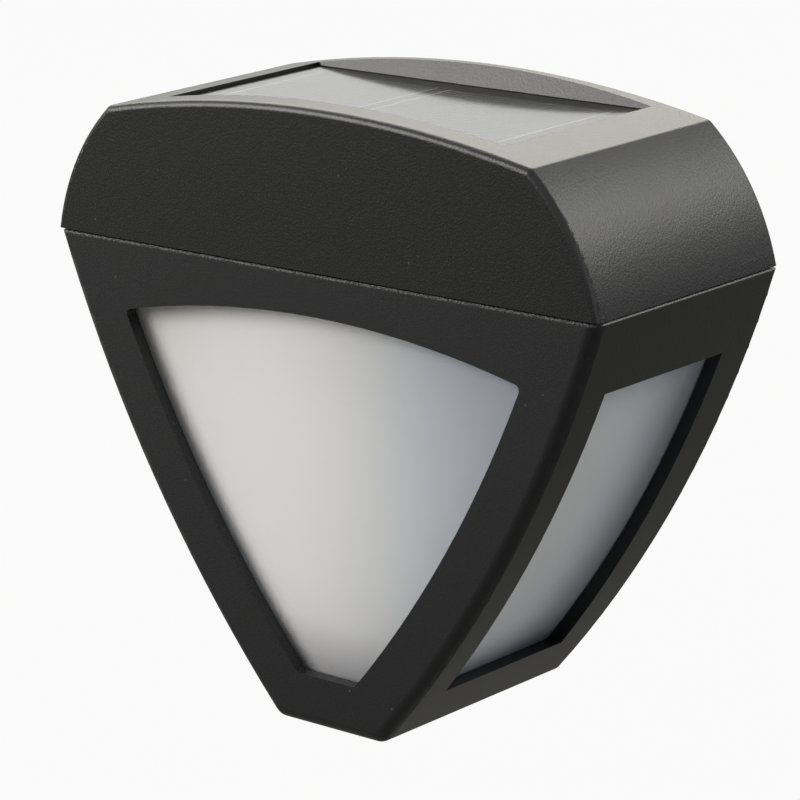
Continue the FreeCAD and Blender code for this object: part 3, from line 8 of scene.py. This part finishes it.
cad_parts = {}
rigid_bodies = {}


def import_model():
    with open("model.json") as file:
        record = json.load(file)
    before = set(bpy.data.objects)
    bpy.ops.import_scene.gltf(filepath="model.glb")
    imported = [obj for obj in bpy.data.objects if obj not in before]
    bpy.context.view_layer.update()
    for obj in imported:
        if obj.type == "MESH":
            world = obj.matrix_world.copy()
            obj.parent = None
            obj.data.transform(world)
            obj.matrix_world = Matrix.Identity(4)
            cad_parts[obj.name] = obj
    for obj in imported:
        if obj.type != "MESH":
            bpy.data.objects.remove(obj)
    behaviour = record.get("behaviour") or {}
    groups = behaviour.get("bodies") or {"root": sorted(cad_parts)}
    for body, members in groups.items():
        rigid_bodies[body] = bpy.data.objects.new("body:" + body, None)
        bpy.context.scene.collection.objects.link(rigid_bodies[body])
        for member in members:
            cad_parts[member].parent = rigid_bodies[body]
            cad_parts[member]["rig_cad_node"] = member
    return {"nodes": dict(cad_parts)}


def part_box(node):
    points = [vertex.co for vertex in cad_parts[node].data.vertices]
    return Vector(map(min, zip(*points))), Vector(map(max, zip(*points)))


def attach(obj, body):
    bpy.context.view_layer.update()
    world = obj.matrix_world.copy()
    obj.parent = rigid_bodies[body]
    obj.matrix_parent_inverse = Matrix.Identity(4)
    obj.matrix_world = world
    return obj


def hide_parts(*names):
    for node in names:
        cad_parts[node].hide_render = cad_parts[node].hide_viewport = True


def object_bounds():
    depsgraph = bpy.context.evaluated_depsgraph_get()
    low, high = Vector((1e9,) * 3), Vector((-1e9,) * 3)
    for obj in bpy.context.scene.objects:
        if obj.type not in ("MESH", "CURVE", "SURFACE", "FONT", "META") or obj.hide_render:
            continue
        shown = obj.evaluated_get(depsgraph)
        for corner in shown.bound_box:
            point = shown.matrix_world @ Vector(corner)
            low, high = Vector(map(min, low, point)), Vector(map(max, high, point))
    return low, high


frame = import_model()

cad_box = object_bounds()
scene = bpy.context.scene
nodes = frame["nodes"]


# ------------------------------------------------------------------ the camera
# A long lens a little above the lantern's right front corner, tipped by a degree and a
# half, as the photograph was taken.
azimuth, elevation, roll = (math.radians(angle) for angle in (41.133, 15.416, -1.527))
backward = Vector((math.sin(azimuth) * math.cos(elevation),
                   -math.cos(azimuth) * math.cos(elevation), math.sin(elevation)))
level = Vector((math.cos(azimuth), math.sin(azimuth), 0))
upright = backward.cross(level)
rightward = level * math.cos(roll) + upright * math.sin(roll)
upward = upright * math.cos(roll) - level * math.sin(roll)
aim = Vector((0.00008, -0.02497, -0.03604))
camera_distance = 0.69783
turned = Matrix((rightward, upward, backward)).transposed().to_4x4()
camera = bpy.data.objects.new("camera", bpy.data.cameras.new("camera"))
scene.collection.objects.link(camera)
camera.matrix_world = Matrix.Translation(aim + backward * camera_distance) @ turned
camera.data.sensor_width = 36
camera.data.lens = 175.83
camera.data.shift_x = -0.01426
camera.data.shift_y = 0.0014
camera.data.clip_start = 0.05
scene.camera = camera


# ------------------------------------------------------- the lantern's frame
# The lower moulding in charcoal plastic: bars and posts round the front and side windows,
# a fine spark-eroded grain, and a painted highlight in broken patches just under the seam
# lip.

def add(tree, kind, links=(), **values):
    """A shader node. Keys of values are its settings or sockets; links join sockets."""
    made = tree.nodes.new("ShaderNode" + kind)
    for key, value in values.items():
        if hasattr(made, key):
            setattr(made, key, value)
        else:
            made.inputs[key.replace("_", " ")].default_value = value
    for socket, source in dict(links).items():
        tree.links.new(source, made.inputs[socket])
    return made


def product(tree, source, factor):
    """A value or colour times a constant."""
    made = add(tree, "VectorMath", {0: source}, operation="MULTIPLY")
    made.inputs[1].default_value = factor
    return made.outputs[0]


def new_effect(name, inputs, outputs):
    """An empty node group with named inputs, each with its value, and named outputs."""
    group = bpy.data.node_groups.new(name, "ShaderNodeTree")
    for label, value in inputs.items():
        socket = group.interface.new_socket(label, in_out="INPUT",
                                            socket_type="NodeSocketFloat")
        socket.default_value = value
    for label in outputs:
        group.interface.new_socket(label, in_out="OUTPUT", socket_type="NodeSocketFloat")
    return group, group.nodes.new("NodeGroupInput"), group.nodes.new("NodeGroupOutput")


def spaced(group, given, label):
    """Texture coordinates on the piece, and the scale that gives a spacing in metres."""
    on_piece = group.nodes.new("ShaderNodeTexCoord").outputs["Object"]
    scale = add(group, "Math", {1: given.outputs[label]}, operation="DIVIDE")
    scale.inputs[0].default_value = 1
    return {"Vector": on_piece, "Scale": scale.outputs[0]}


def place(tree, group, **values):
    """That group in a material's tree, with its own values."""
    made = tree.nodes.new("ShaderNodeGroup")
    made.node_tree = group
    for key, value in values.items():
        made.inputs[key].default_value = value
    return made.outputs


def new_finish(name, **values):
    """A material with its Principled shader; values are the shader's own sockets."""
    made = bpy.data.materials.new(name)
    made.use_nodes = True
    shader = made.node_tree.nodes["Principled BSDF"]
    for key, value in values.items():
        shader.inputs[key.replace("_", " ")].default_value = value
    return made, made.node_tree, shader


def coat(node, material):
    """Gives a CAD node its finish."""
    nodes[node].data.materials.clear()
    nodes[node].data.materials.append(material)


grain, given, out = new_effect("moulded_grain", {"Size": 0.0005, "Contrast": 0.1},
                               ["Height", "Shade"])
specks = add(grain, "TexNoise", spaced(grain, given, "Size"), Detail=3, Roughness=0.6)
spread = add(grain, "MapRange", {"Value": specks.outputs["Fac"]}, From_Min=0.35,
             From_Max=0.65)
centred = add(grain, "Math", {0: spread.outputs[0]}, operation="SUBTRACT")
centred.inputs[1].default_value = 0.5
shade = add(grain, "Math", {0: centred.outputs[0], 1: given.outputs["Contrast"]},
            operation="MULTIPLY_ADD")
shade.inputs[2].default_value = 1
grain.links.new(spread.outputs[0], out.inputs["Height"])
grain.links.new(shade.outputs[0], out.inputs["Shade"])

motes, given, out = new_effect("dust_motes", {"Spacing": 0.006}, ["Mask"])
cells = add(motes, "TexVoronoi", spaced(motes, given, "Spacing"))
mote = add(motes, "MapRange", {"Value": cells.outputs["Distance"]}, From_Min=0.015,
           From_Max=0.045, To_Min=1, To_Max=0)
motes.links.new(mote.outputs[0], out.inputs["Mask"])


def moulded_plastic(name, colour, size=0.00045, contrast=0.35, depth=0.000025, dusty=0.15,
                    painted_highlight_lip_height=None, **values):
    """Plastic with the mould's grain, a little dust, and a painted highlight on a lip if
    asked.

    Its lip height places that highlight, which fades out over a band just below it."""
    band_foot, band_top = 0.0006, 0.0002
    made, tree, shader = new_finish(name, **values)
    texture = place(tree, grain, Size=size, Contrast=contrast)
    tinted = product(tree, texture["Shade"], colour)
    dust = product(tree, place(tree, motes)["Mask"], (dusty, dusty, dusty))
    coloured = add(tree, "MixRGB", {"Fac": dust, "Color1": tinted},
                   Color2=(0.5, 0.49, 0.46, 1)).outputs[0]
    # Painted highlight: a broken pale band just under the seam lip, standing in for the
    # light its edge catches.
    if painted_highlight_lip_height:
        at = add(tree, "SeparateXYZ",
                 {0: tree.nodes.new("ShaderNodeTexCoord").outputs["Object"]})
        near = add(tree, "MapRange", {"Value": at.outputs[2]},
                   From_Min=painted_highlight_lip_height - band_foot, From_Max=painted_highlight_lip_height - band_top)
        patches = add(tree, "TexNoise", Scale=260, Detail=4)
        broken = add(tree, "MapRange", {"Value": patches.outputs["Fac"]}, From_Min=0.48,
                     From_Max=0.6, To_Max=0.3)
        painted_highlight = add(tree, "Math", {0: near.outputs[0], 1: broken.outputs[0]},
                   operation="MULTIPLY")
        coloured = add(tree, "MixRGB", {"Fac": painted_highlight.outputs[0], "Color1": coloured},
                       Color2=(0.42, 0.41, 0.40, 1)).outputs[0]
    bump = add(tree, "Bump", {"Height": texture["Height"]}, Strength=0.5, Distance=depth)
    tree.links.new(coloured, shader.inputs["Base Color"])
    tree.links.new(bump.outputs[0], shader.inputs["Normal"])
    return made


# Painted light: the same charcoal plastic as the head's, painted a little lighter on this
# moulding.
charcoal_shade = (0.0072, 0.0074, 0.0082)
seam_gap = 0.00035
lip_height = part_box("head_shell")[0].z - seam_gap
# Its seam lip gets a painted highlight in broken patches.
coat("lantern_frame", moulded_plastic("charcoal_painted_lip_highlight", charcoal_shade, Roughness=0.37,
                                      Specular_IOR_Level=0.36, painted_highlight_lip_height=lip_height))


# ------------------------------------------------------------- the diffuser
# A milky, frosted tub that drops in behind the windows; light passes through its thin wall.
# Its colour is painted with light and shade: palest towards the front left, dimming to the
# right, towards the black back plate, near the sill and a little under the top.
frosted, tree, shader = new_finish(
    "frosted_plastic", Roughness=0.55, Subsurface_Weight=1.0, Subsurface_Scale=0.004,
    Subsurface_Radius=(1.0, 0.97, 0.92), Specular_IOR_Level=0.3)


def graded(tree, place_on_piece, low, high, steps):
    """A smooth run of colours between two places along an axis."""
    share = add(tree, "MapRange", {"Value": place_on_piece}, From_Min=low, From_Max=high)
    ramp = add(tree, "ValToRGB", {"Fac": share.outputs[0]})
    ramp.color_ramp.interpolation = "B_SPLINE"
    while len(ramp.color_ramp.elements) < len(steps):
        ramp.color_ramp.elements.new(0.5)
    for element, (position, colour) in zip(ramp.color_ramp.elements, steps):
        element.position = position
        element.color = (*colour, 1)
    return ramp.outputs[0]


at = add(tree, "SeparateXYZ", {0: tree.nodes.new("ShaderNodeTexCoord").outputs["Object"]})
# Painted light and shade across the front: palest left of the middle, darker and bluer to
# the right.
face_painted_shading = graded(tree, at.outputs[0], -0.050, 0.050,
                   [(0.0, (0.66, 0.62, 0.58)), (0.12, (0.80, 0.77, 0.73)),
                    (0.30, (0.97, 0.95, 0.92)), (0.48, (0.86, 0.85, 0.83)),
                    (0.66, (0.57, 0.59, 0.61)), (0.82, (0.42, 0.45, 0.51)),
                    (1.0, (0.34, 0.38, 0.44))])
# Painted shade along the side: pale near the front, darkening towards the back plate.
side_painted_shading = graded(tree, at.outputs[1], -0.042, -0.008,
                   [(0.0, (0.96, 0.98, 1.0)), (0.30, (0.93, 0.96, 1.0)),
                    (0.55, (0.76, 0.79, 0.86)), (0.78, (0.44, 0.46, 0.50)),
                    (1.0, (0.30, 0.31, 0.34))])
front_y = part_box("diffuser")[0].y
corner_start, corner_end = 0.0010, 0.0022
beside = add(tree, "MapRange", {"Value": at.outputs[1]}, From_Min=front_y + corner_start,
             From_Max=front_y + corner_end)
# The front's painted shading gives way to the side's just round the corner.
tinted = add(tree, "MixRGB", {"Fac": beside.outputs[0], "Color1": face_painted_shading,
                              "Color2": side_painted_shading})
# Painted shade: darker near the sill and a little under the top.
height_painted_shade = graded(tree, at.outputs[2], -0.082, -0.018,
                     [(0.0, (0.40, 0.40, 0.42)), (0.06, (0.50, 0.50, 0.52)),
                      (0.16, (0.90, 0.90, 0.90)), (0.40, (1.0, 1.0, 1.0)),
                      (0.75, (1.0, 1.0, 1.0)), (1.0, (0.80, 0.80, 0.80))])
tinted = add(tree, "MixRGB", {"Color1": tinted.outputs[0], "Color2": height_painted_shade},
             blend_type="MULTIPLY", Fac=1)
frost = add(tree, "Bump", {"Height": place(tree, grain, Size=0.0003)["Height"]},
            Strength=0.3, Distance=0.00001)
tree.links.new(tinted.outputs[0], shader.inputs["Base Color"])
tree.links.new(frost.outputs[0], shader.inputs["Normal"])
coat("diffuser", frosted)


# ------------------------------------------------------------ the reflector
# A plain white sheet across the back of the diffuser that throws the lamps' light
# forward, moulded with a satin grain.
white = moulded_plastic("white_plastic", (0.70, 0.70, 0.68), size=0.0006, contrast=0.06,
                        dusty=0, Roughness=0.5)
coat("rear_reflector", white)


# --------------------------------------------------------- the tray and its screws
# A white shelf on four posts under the head. The lamps' board hangs below it, and the
# battery and the control board stand on it, each held by small cross-headed screws.
coat("led_tray", white)


def brushed_metal(name, colour, roughness, **values):
    """Rolled or turned metal, with fine scratches that change its gloss."""
    smoother, rougher = 0.1, 0.12
    made, tree, shader = new_finish(name, Base_Color=(*colour, 1), Metallic=1.0, **values)
    scratches = add(tree, "TexNoise",
                    {"Vector": tree.nodes.new("ShaderNodeTexCoord").outputs["Object"]},
                    Scale=5200, Detail=5, Distortion=1.5)
    gloss = add(tree, "MapRange", {"Value": scratches.outputs["Fac"]}, From_Min=0.3,
                From_Max=0.7, To_Min=roughness - smoother, To_Max=roughness + rougher)
    relief = add(tree, "Bump", {"Height": scratches.outputs["Fac"]}, Strength=0.25,
                 Distance=0.00001)
    tree.links.new(gloss.outputs[0], shader.inputs["Roughness"])
    tree.links.new(relief.outputs[0], shader.inputs["Normal"])
    return made


steel = brushed_metal("screw_steel", (0.50, 0.49, 0.47), 0.36)
for screws in ("tray_screws", "board_screws", "back_plate_screws"):
    coat(screws, steel)


# --------------------------------------------------------- the lamps on their board
# A strip of white-masked circuit board with four surface lamps: a white body and a low
# yellow phosphor dome that looks down into the lantern.

def masked_board(name, mask, copper, pitch):
    """Circuit board with tracks that show as a slightly different shade of its mask."""
    made, tree, shader = new_finish(name, Roughness=0.3, Coat_Weight=0.3)
    on_piece = tree.nodes.new("ShaderNodeTexCoord").outputs["Object"]
    tracks = add(tree, "TexVoronoi", {"Vector": on_piece}, Scale=1 / pitch,
                 feature="DISTANCE_TO_EDGE")
    edge = add(tree, "MapRange", {"Value": tracks.outputs["Distance"]}, From_Min=0.09,
               From_Max=0.11)
    shown = add(tree, "MixRGB", {"Fac": edge.outputs[0]}, Color1=(*copper, 1),
                Color2=(*mask, 1))
    raised = add(tree, "Bump", {"Height": edge.outputs[0]}, Strength=0.6,
                 Distance=-0.00003)
    tree.links.new(shown.outputs[0], shader.inputs["Base Color"])
    tree.links.new(raised.outputs[0], shader.inputs["Normal"])
    return made


def recoat(node, material, belongs):
    """Gives that material to the faces of a CAD node whose middles pass the test."""
    nodes[node].data.materials.append(material)
    index = len(nodes[node].data.materials) - 1
    for face in nodes[node].data.polygons:
        if belongs(face.center):
            face.material_index = index


coat("led_board", masked_board("board_white", (0.78, 0.78, 0.76), (0.66, 0.66, 0.62),
                               0.006))
lamp_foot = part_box("leds")[0].z
lamp_body, tree, shader = new_finish("lamp_body", Base_Color=(0.82, 0.81, 0.77, 1),
                                     Roughness=0.35)
coat("leds", lamp_body)
phosphor, tree, shader = new_finish("lamp_phosphor", Roughness=0.22, Coat_Weight=0.5)
speckled = place(tree, grain, Size=0.0002, Contrast=0.25)["Shade"]
tree.links.new(product(tree, speckled, (0.80, 0.60, 0.10)), shader.inputs["Base Color"])
dome_height = 0.0004
recoat("leds", phosphor, lambda middle: middle.z < lamp_foot + dome_height)


# ------------------------------------------------------------ the battery and its holder
# A size AAA rechargeable cell in a plain green sleeve with bare steel ends, in a black
# trough with two sheet contacts and a coil spring at the cell's flat end.
cell_low, cell_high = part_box("battery_cell")
sleeve, tree, shader = new_finish("cell_sleeve", Roughness=0.28, Coat_Weight=0.4)
at = add(tree, "SeparateXYZ", {0: tree.nodes.new("ShaderNodeTexCoord").outputs["Object"]})
band = graded(tree, at.outputs[0], cell_low.x, cell_high.x,
              [(0.0, (0.02, 0.16, 0.06)), (0.70, (0.02, 0.18, 0.07)),
               (0.72, (0.75, 0.75, 0.72)), (0.76, (0.75, 0.75, 0.72)),
               (0.78, (0.02, 0.18, 0.07)), (1.0, (0.02, 0.16, 0.06))])
wrinkles = add(tree, "TexNoise", Scale=900, Detail=2)
film = add(tree, "Bump", {"Height": wrinkles.outputs["Fac"]}, Strength=0.2,
           Distance=0.00003)
tree.links.new(band, shader.inputs["Base Color"])
tree.links.new(film.outputs[0], shader.inputs["Normal"])
coat("battery_cell", sleeve)
end_inset, nub_room = 0.0004, 0.0014
recoat("battery_cell", steel, lambda middle: middle.x < cell_low.x + end_inset
       or middle.x > cell_high.x - nub_room)
black = moulded_plastic("black_plastic", (0.012, 0.012, 0.012), dusty=0, Roughness=0.4)
for moulding in ("battery_holder", "switch_body"):
    coat(moulding, black)
contact_metal = brushed_metal("contact_steel", (0.62, 0.60, 0.56), 0.24)
for contact in ("battery_contact_plus", "battery_contact_minus", "battery_spring",
                "switch_terminals"):
    coat(contact, contact_metal)


# ------------------------------------------------------- the control board and its leads
# A small green board with a driver chip, coil, capacitor and chip resistors, joined to the
# panel, battery, lamps and switch by pairs of thin red and black insulated leads.
coat("control_board", masked_board("board_green", (0.015, 0.12, 0.045),
                                   (0.03, 0.20, 0.08), 0.004))
component = moulded_plastic("component_black", (0.016, 0.016, 0.017), size=0.0002,
                            contrast=0.2, dusty=0, Roughness=0.42)
coat("board_components", component)
red = moulded_plastic("lead_insulation", (0.42, 0.02, 0.015), size=0.0008, contrast=0.15,
                      dusty=0, Roughness=0.38)
black_lead = moulded_plastic("lead_insulation_black", (0.015, 0.015, 0.016), size=0.0008,
                             contrast=0.15, dusty=0, Roughness=0.38)


def recoat_second(node, material):
    """Gives that material to every other separate solid of a CAD node."""
    mesh = nodes[node].data
    mesh.materials.append(material)
    owner = {}

    def find(key):
        while owner[key] != key:
            owner[key] = owner[owner[key]]
            key = owner[key]
        return key

    keys = [tuple(round(value, 7) for value in vertex.co) for vertex in mesh.vertices]
    for key in keys:
        owner.setdefault(key, key)
    for face in mesh.polygons:
        first = find(keys[face.vertices[0]])
        for index in face.vertices[1:]:
            owner[find(keys[index])] = first
    roots = sorted({find(key) for key in owner})
    for face in mesh.polygons:
        if roots.index(find(keys[face.vertices[0]])) % 2:
            face.material_index = 1


for leads in ("solar_leads", "battery_leads", "led_leads", "switch_leads"):
    coat(leads, red)
    recoat_second(leads, black_lead)


# ----------------------------------------------------------------- the head
# The upper moulding in the same charcoal plastic: an arched roof with the panel's recess.
# The recess's rear wall leans back to let the mould out, so the sky lights it.
# The head's charcoal is painted darker than the lower moulding's, though the plastic is the
# same.
charcoal = moulded_plastic("charcoal_plastic", (0.0045, 0.0047, 0.0050), Roughness=0.34,
                           depth=0.00004, Specular_IOR_Level=0.34)
head = nodes["head_shell"].copy()
head.data = nodes["head_shell"].data.copy()
head.name = "head_moulding"
scene.collection.objects.link(head)
del head["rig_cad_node"]
panel_low, panel_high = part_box("panel_resin")
panel_clearance, wall_end_room = 0.00035, 0.0005
near, weld = 0.00006, 0.000002
lean, crease = 0.5, math.radians(24)
wall_y = panel_high.y + panel_clearance
wall_end = panel_high.x + wall_end_room


def on_wall(spot):
    """Whether a place lies on the recess's rear wall."""
    return abs(spot.y - wall_y) < near and abs(spot.x) < wall_end


shaped = bmesh.new()
shaped.from_mesh(head.data)
bmesh.ops.remove_doubles(shaped, verts=shaped.verts, dist=weld)
wall = [face for face in shaped.faces if all(on_wall(corner.co) for corner in face.verts)]
rims = {edge for face in wall for edge in face.edges}
corners = {corner for face in wall for corner in face.verts}
bmesh.ops.bisect_plane(shaped, geom=[*wall, *rims, *corners], dist=weld,
                       plane_co=(0, 0, panel_high.z), plane_no=(0, 0, 1))
for corner in shaped.verts:
    if on_wall(corner.co) and corner.co.z > panel_high.z + weld:
        corner.co.y += lean * (corner.co.z - panel_high.z)
shaped.to_mesh(head.data)
shaped.free()
if "custom_normal" in head.data.attributes:
    head.data.attributes.remove(head.data.attributes["custom_normal"])
head.data.shade_smooth()
head.data.set_sharp_from_angle(angle=crease)
even = head.modifiers.new("even_faces", "WEIGHTED_NORMAL")
even.keep_sharp = True
head.data.materials.clear()
head.data.materials.append(charcoal)
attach(head, "root")
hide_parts("head_shell")


# ---------------------------------------------------------------- the gasket
# A thin black rubber cord pressed over the lantern's tongue, which shows only as the
# darkness in the seam.

def matt_rubber(name, colour, roughness):
    """Rubber with a fine matt bloom."""
    made, tree, shader = new_finish(name, Roughness=roughness, Specular_IOR_Level=0.3)
    bloom = place(tree, grain, Size=0.00025, Contrast=0.3)
    soft = add(tree, "Bump", {"Height": bloom["Height"]}, Strength=0.35, Distance=0.00002)
    tree.links.new(product(tree, bloom["Shade"], colour), shader.inputs["Base Color"])
    tree.links.new(soft.outputs[0], shader.inputs["Normal"])
    return made


coat("seam_gasket", matt_rubber("gasket_rubber", (0.008, 0.008, 0.008), 0.75))


# --------------------------------------------------------------- the solar panel
# Two dark silicon cells on an olive board, printed with fine silver fingers, under clear
# resin that shines like glass at a low angle, bedded in the recess on a bead of sealant.
sealant, tree, shader = new_finish("sealant", Roughness=0.4)
cured = place(tree, grain, Size=0.0012, Contrast=0.1)
tree.links.new(product(tree, cured["Shade"], (0.55, 0.55, 0.52)),
               shader.inputs["Base Color"])
coat("panel_sealant", sealant)
coat("solar_board", masked_board("board_olive", (0.20, 0.21, 0.09), (0.24, 0.25, 0.12),
                                 0.009))
silicon, tree, shader = new_finish("silicon_cell", Roughness=0.4)
patches = add(tree, "TexVoronoi",
              {"Vector": tree.nodes.new("ShaderNodeTexCoord").outputs["Object"]}, Scale=420)
tone = add(tree, "MapRange", {"Value": patches.outputs["Distance"]}, To_Min=0.8, To_Max=1.2)
# The cells are painted a lighter grey than their dark silicon, a painted reflection of the
# sky in the resin, varied at random from patch to patch.
tree.links.new(product(tree, tone.outputs[0], (0.180, 0.174, 0.190)),
               shader.inputs["Base Color"])
coat("solar_cells", silicon)
resin, tree, shader = new_finish("clear_resin", Base_Color=(0.97, 0.97, 0.92, 1),
                                 Roughness=0.12, Transmission_Weight=1.0, IOR=1.5,
                                 Coat_Weight=0.6, Coat_Roughness=0.12)
coat("panel_resin", resin)

cell_low, cell_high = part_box("solar_cells")
gap_middle, gap = -0.0042, 0.0012
finger_pitch, finger_width, finger_high = 0.00155, 0.00018, 0.00004
border, bar_inset, bar_width, bar_high = 0.0003, 0.0010, 0.0005, 0.00006
printed = bmesh.new()


def print_strip(low, high, thick):
    """A strip of silver paste on the cells, between two corners."""
    middle = ((low[0] + high[0]) / 2, (low[1] + high[1]) / 2, cell_high.z + thick / 2)
    shape = Matrix.Diagonal((high[0] - low[0], high[1] - low[1], thick, 1))
    bmesh.ops.create_cube(printed, size=1, matrix=Matrix.Translation(middle) @ shape)


rows = int((cell_high.y - cell_low.y) / finger_pitch)
cell_ends = ((cell_low.x, gap_middle - gap / 2), (gap_middle + gap / 2, cell_high.x))
for left, right in cell_ends:
    for row in range(1, rows + 1):
        y = cell_low.y + row * (cell_high.y - cell_low.y) / (rows + 1)
        print_strip((left + border, y - finger_width / 2),
                    (right - border, y + finger_width / 2), finger_high)
    for x in (left + bar_inset, right - bar_inset):
        print_strip((x - bar_width / 2, cell_low.y + border),
                    (x + bar_width / 2, cell_high.y - border), bar_high)
strips = bpy.data.meshes.new("cell_fingers")
printed.to_mesh(strips)
printed.free()
fingers = bpy.data.objects.new("cell_fingers", strips)
scene.collection.objects.link(fingers)
silver, tree, shader = new_finish("printed_silver", Base_Color=(0.30, 0.30, 0.29, 1),
                                  Roughness=0.55)
paste = add(tree, "Bump", {"Height": place(tree, grain, Size=0.0001)["Height"]},
            Strength=0.4, Distance=0.00001)
tree.links.new(paste.outputs[0], shader.inputs["Normal"])
strips.materials.append(silver)
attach(fingers, "root")


# ------------------------------------------------------------ the back plate
# The charcoal rear cover, with its keyhole for one wall screw, its six sunk screws, and
# the well round the rubber button that works the switch behind it.
coat("back_plate", charcoal)
coat("power_button", matt_rubber("button_rubber", (0.030, 0.030, 0.032), 0.62))
plunger, tree, shader = new_finish("plunger_plastic", Roughness=0.4)
natural = place(tree, grain, Size=0.0004, Contrast=0.08)
tree.links.new(product(tree, natural["Shade"], (0.58, 0.56, 0.48)),
               shader.inputs["Base Color"])
coat("switch_plunger", plunger)


# ------------------------------------------------------- the floor and the light
# A plain pale floor well below the lantern, darker in gloss so that the underside stays
# dark. Four soft lamps: front left, behind on the right, a wide one behind on the left and
# a weak one on the right.
floor_drop, floor_size, floor_glow = 0.06, 30, 0.94
bpy.ops.mesh.primitive_plane_add(size=floor_size,
                                 location=(0, 0, cad_box[0].z - floor_drop))
floor = bpy.context.object
floor.name = "floor"
pale, tree, shader = new_finish("pale_floor", Base_Color=(0.24, 0.24, 0.236, 1),
                                Roughness=0.9, Specular_IOR_Level=0.1)
seen_by = add(tree, "LightPath")
glow = add(tree, "Emission", Color=(1, 1, 1, 1), Strength=1.0)
direct = add(tree, "Math", {0: seen_by.outputs["Is Camera Ray"],
                            1: seen_by.outputs["Is Transmission Ray"]}, operation="MAXIMUM")
share = add(tree, "Math", {0: direct.outputs[0]}, operation="MULTIPLY")
share.inputs[1].default_value = floor_glow
mixed = add(tree, "MixShader", {0: share.outputs[0], 1: shader.outputs[0],
                                2: glow.outputs[0]})
tree.links.new(mixed.outputs[0], tree.nodes["Material Output"].inputs["Surface"])
floor.data.materials.append(pale)

world = bpy.data.worlds.new("studio")
scene.world = world
world.use_nodes = True
tree = world.node_tree
seen_by = add(tree, "LightPath")
direct = add(tree, "Math", {0: seen_by.outputs["Is Camera Ray"],
                            1: seen_by.outputs["Is Glossy Ray"]}, operation="MAXIMUM")
either = add(tree, "Math", {0: direct.outputs[0],
                            1: seen_by.outputs["Is Transmission Ray"]}, operation="MAXIMUM")
strength = add(tree, "MapRange", {"Value": either.outputs[0]}, To_Min=0.12, To_Max=1.0)
tree.links.new(strength.outputs[0], tree.nodes["Background"].inputs["Strength"])
tree.nodes["Background"].inputs["Color"].default_value = (1, 1, 1, 1)


def soft_lamp(name, direction, distance, width, height, radiance, tint=(1, 1, 1)):
    """An area lamp in that direction from the lantern's middle, facing it."""
    lamp = bpy.data.objects.new(name, bpy.data.lights.new(name, "AREA"))
    scene.collection.objects.link(lamp)
    lamp.data.shape = "RECTANGLE"
    lamp.data.size, lamp.data.size_y = width, height
    lamp.data.energy = radiance * math.pi * width * height
    lamp.data.color = tint
    away = Vector(direction).normalized()
    lamp.location = aim + away * distance
    lamp.rotation_mode = "QUATERNION"
    lamp.rotation_quaternion = away.to_track_quat("Z", "Y")
    return lamp


soft_lamp("lamp_front_left", (-0.634, -0.641, 0.431), distance=1.1, width=0.62,
          height=0.62, radiance=10.5, tint=(1.0, 0.98, 0.95))
soft_lamp("lamp_behind_right", (0.60, 0.66, 0.62), distance=1.2, width=0.6,
          height=0.5, radiance=6.5, tint=(1.0, 0.99, 0.93))
soft_lamp("card_behind_left", (-0.60, 0.70, 0.68), distance=1.4, width=1.3,
          height=0.85, radiance=3.5, tint=(1.0, 0.98, 0.88))
soft_lamp("lamp_right", (0.90, -0.35, 0.20), distance=1.3, width=0.8,
          height=0.8, radiance=1.15, tint=(0.82, 0.91, 1.0))

scene.view_settings.view_transform = "Standard"
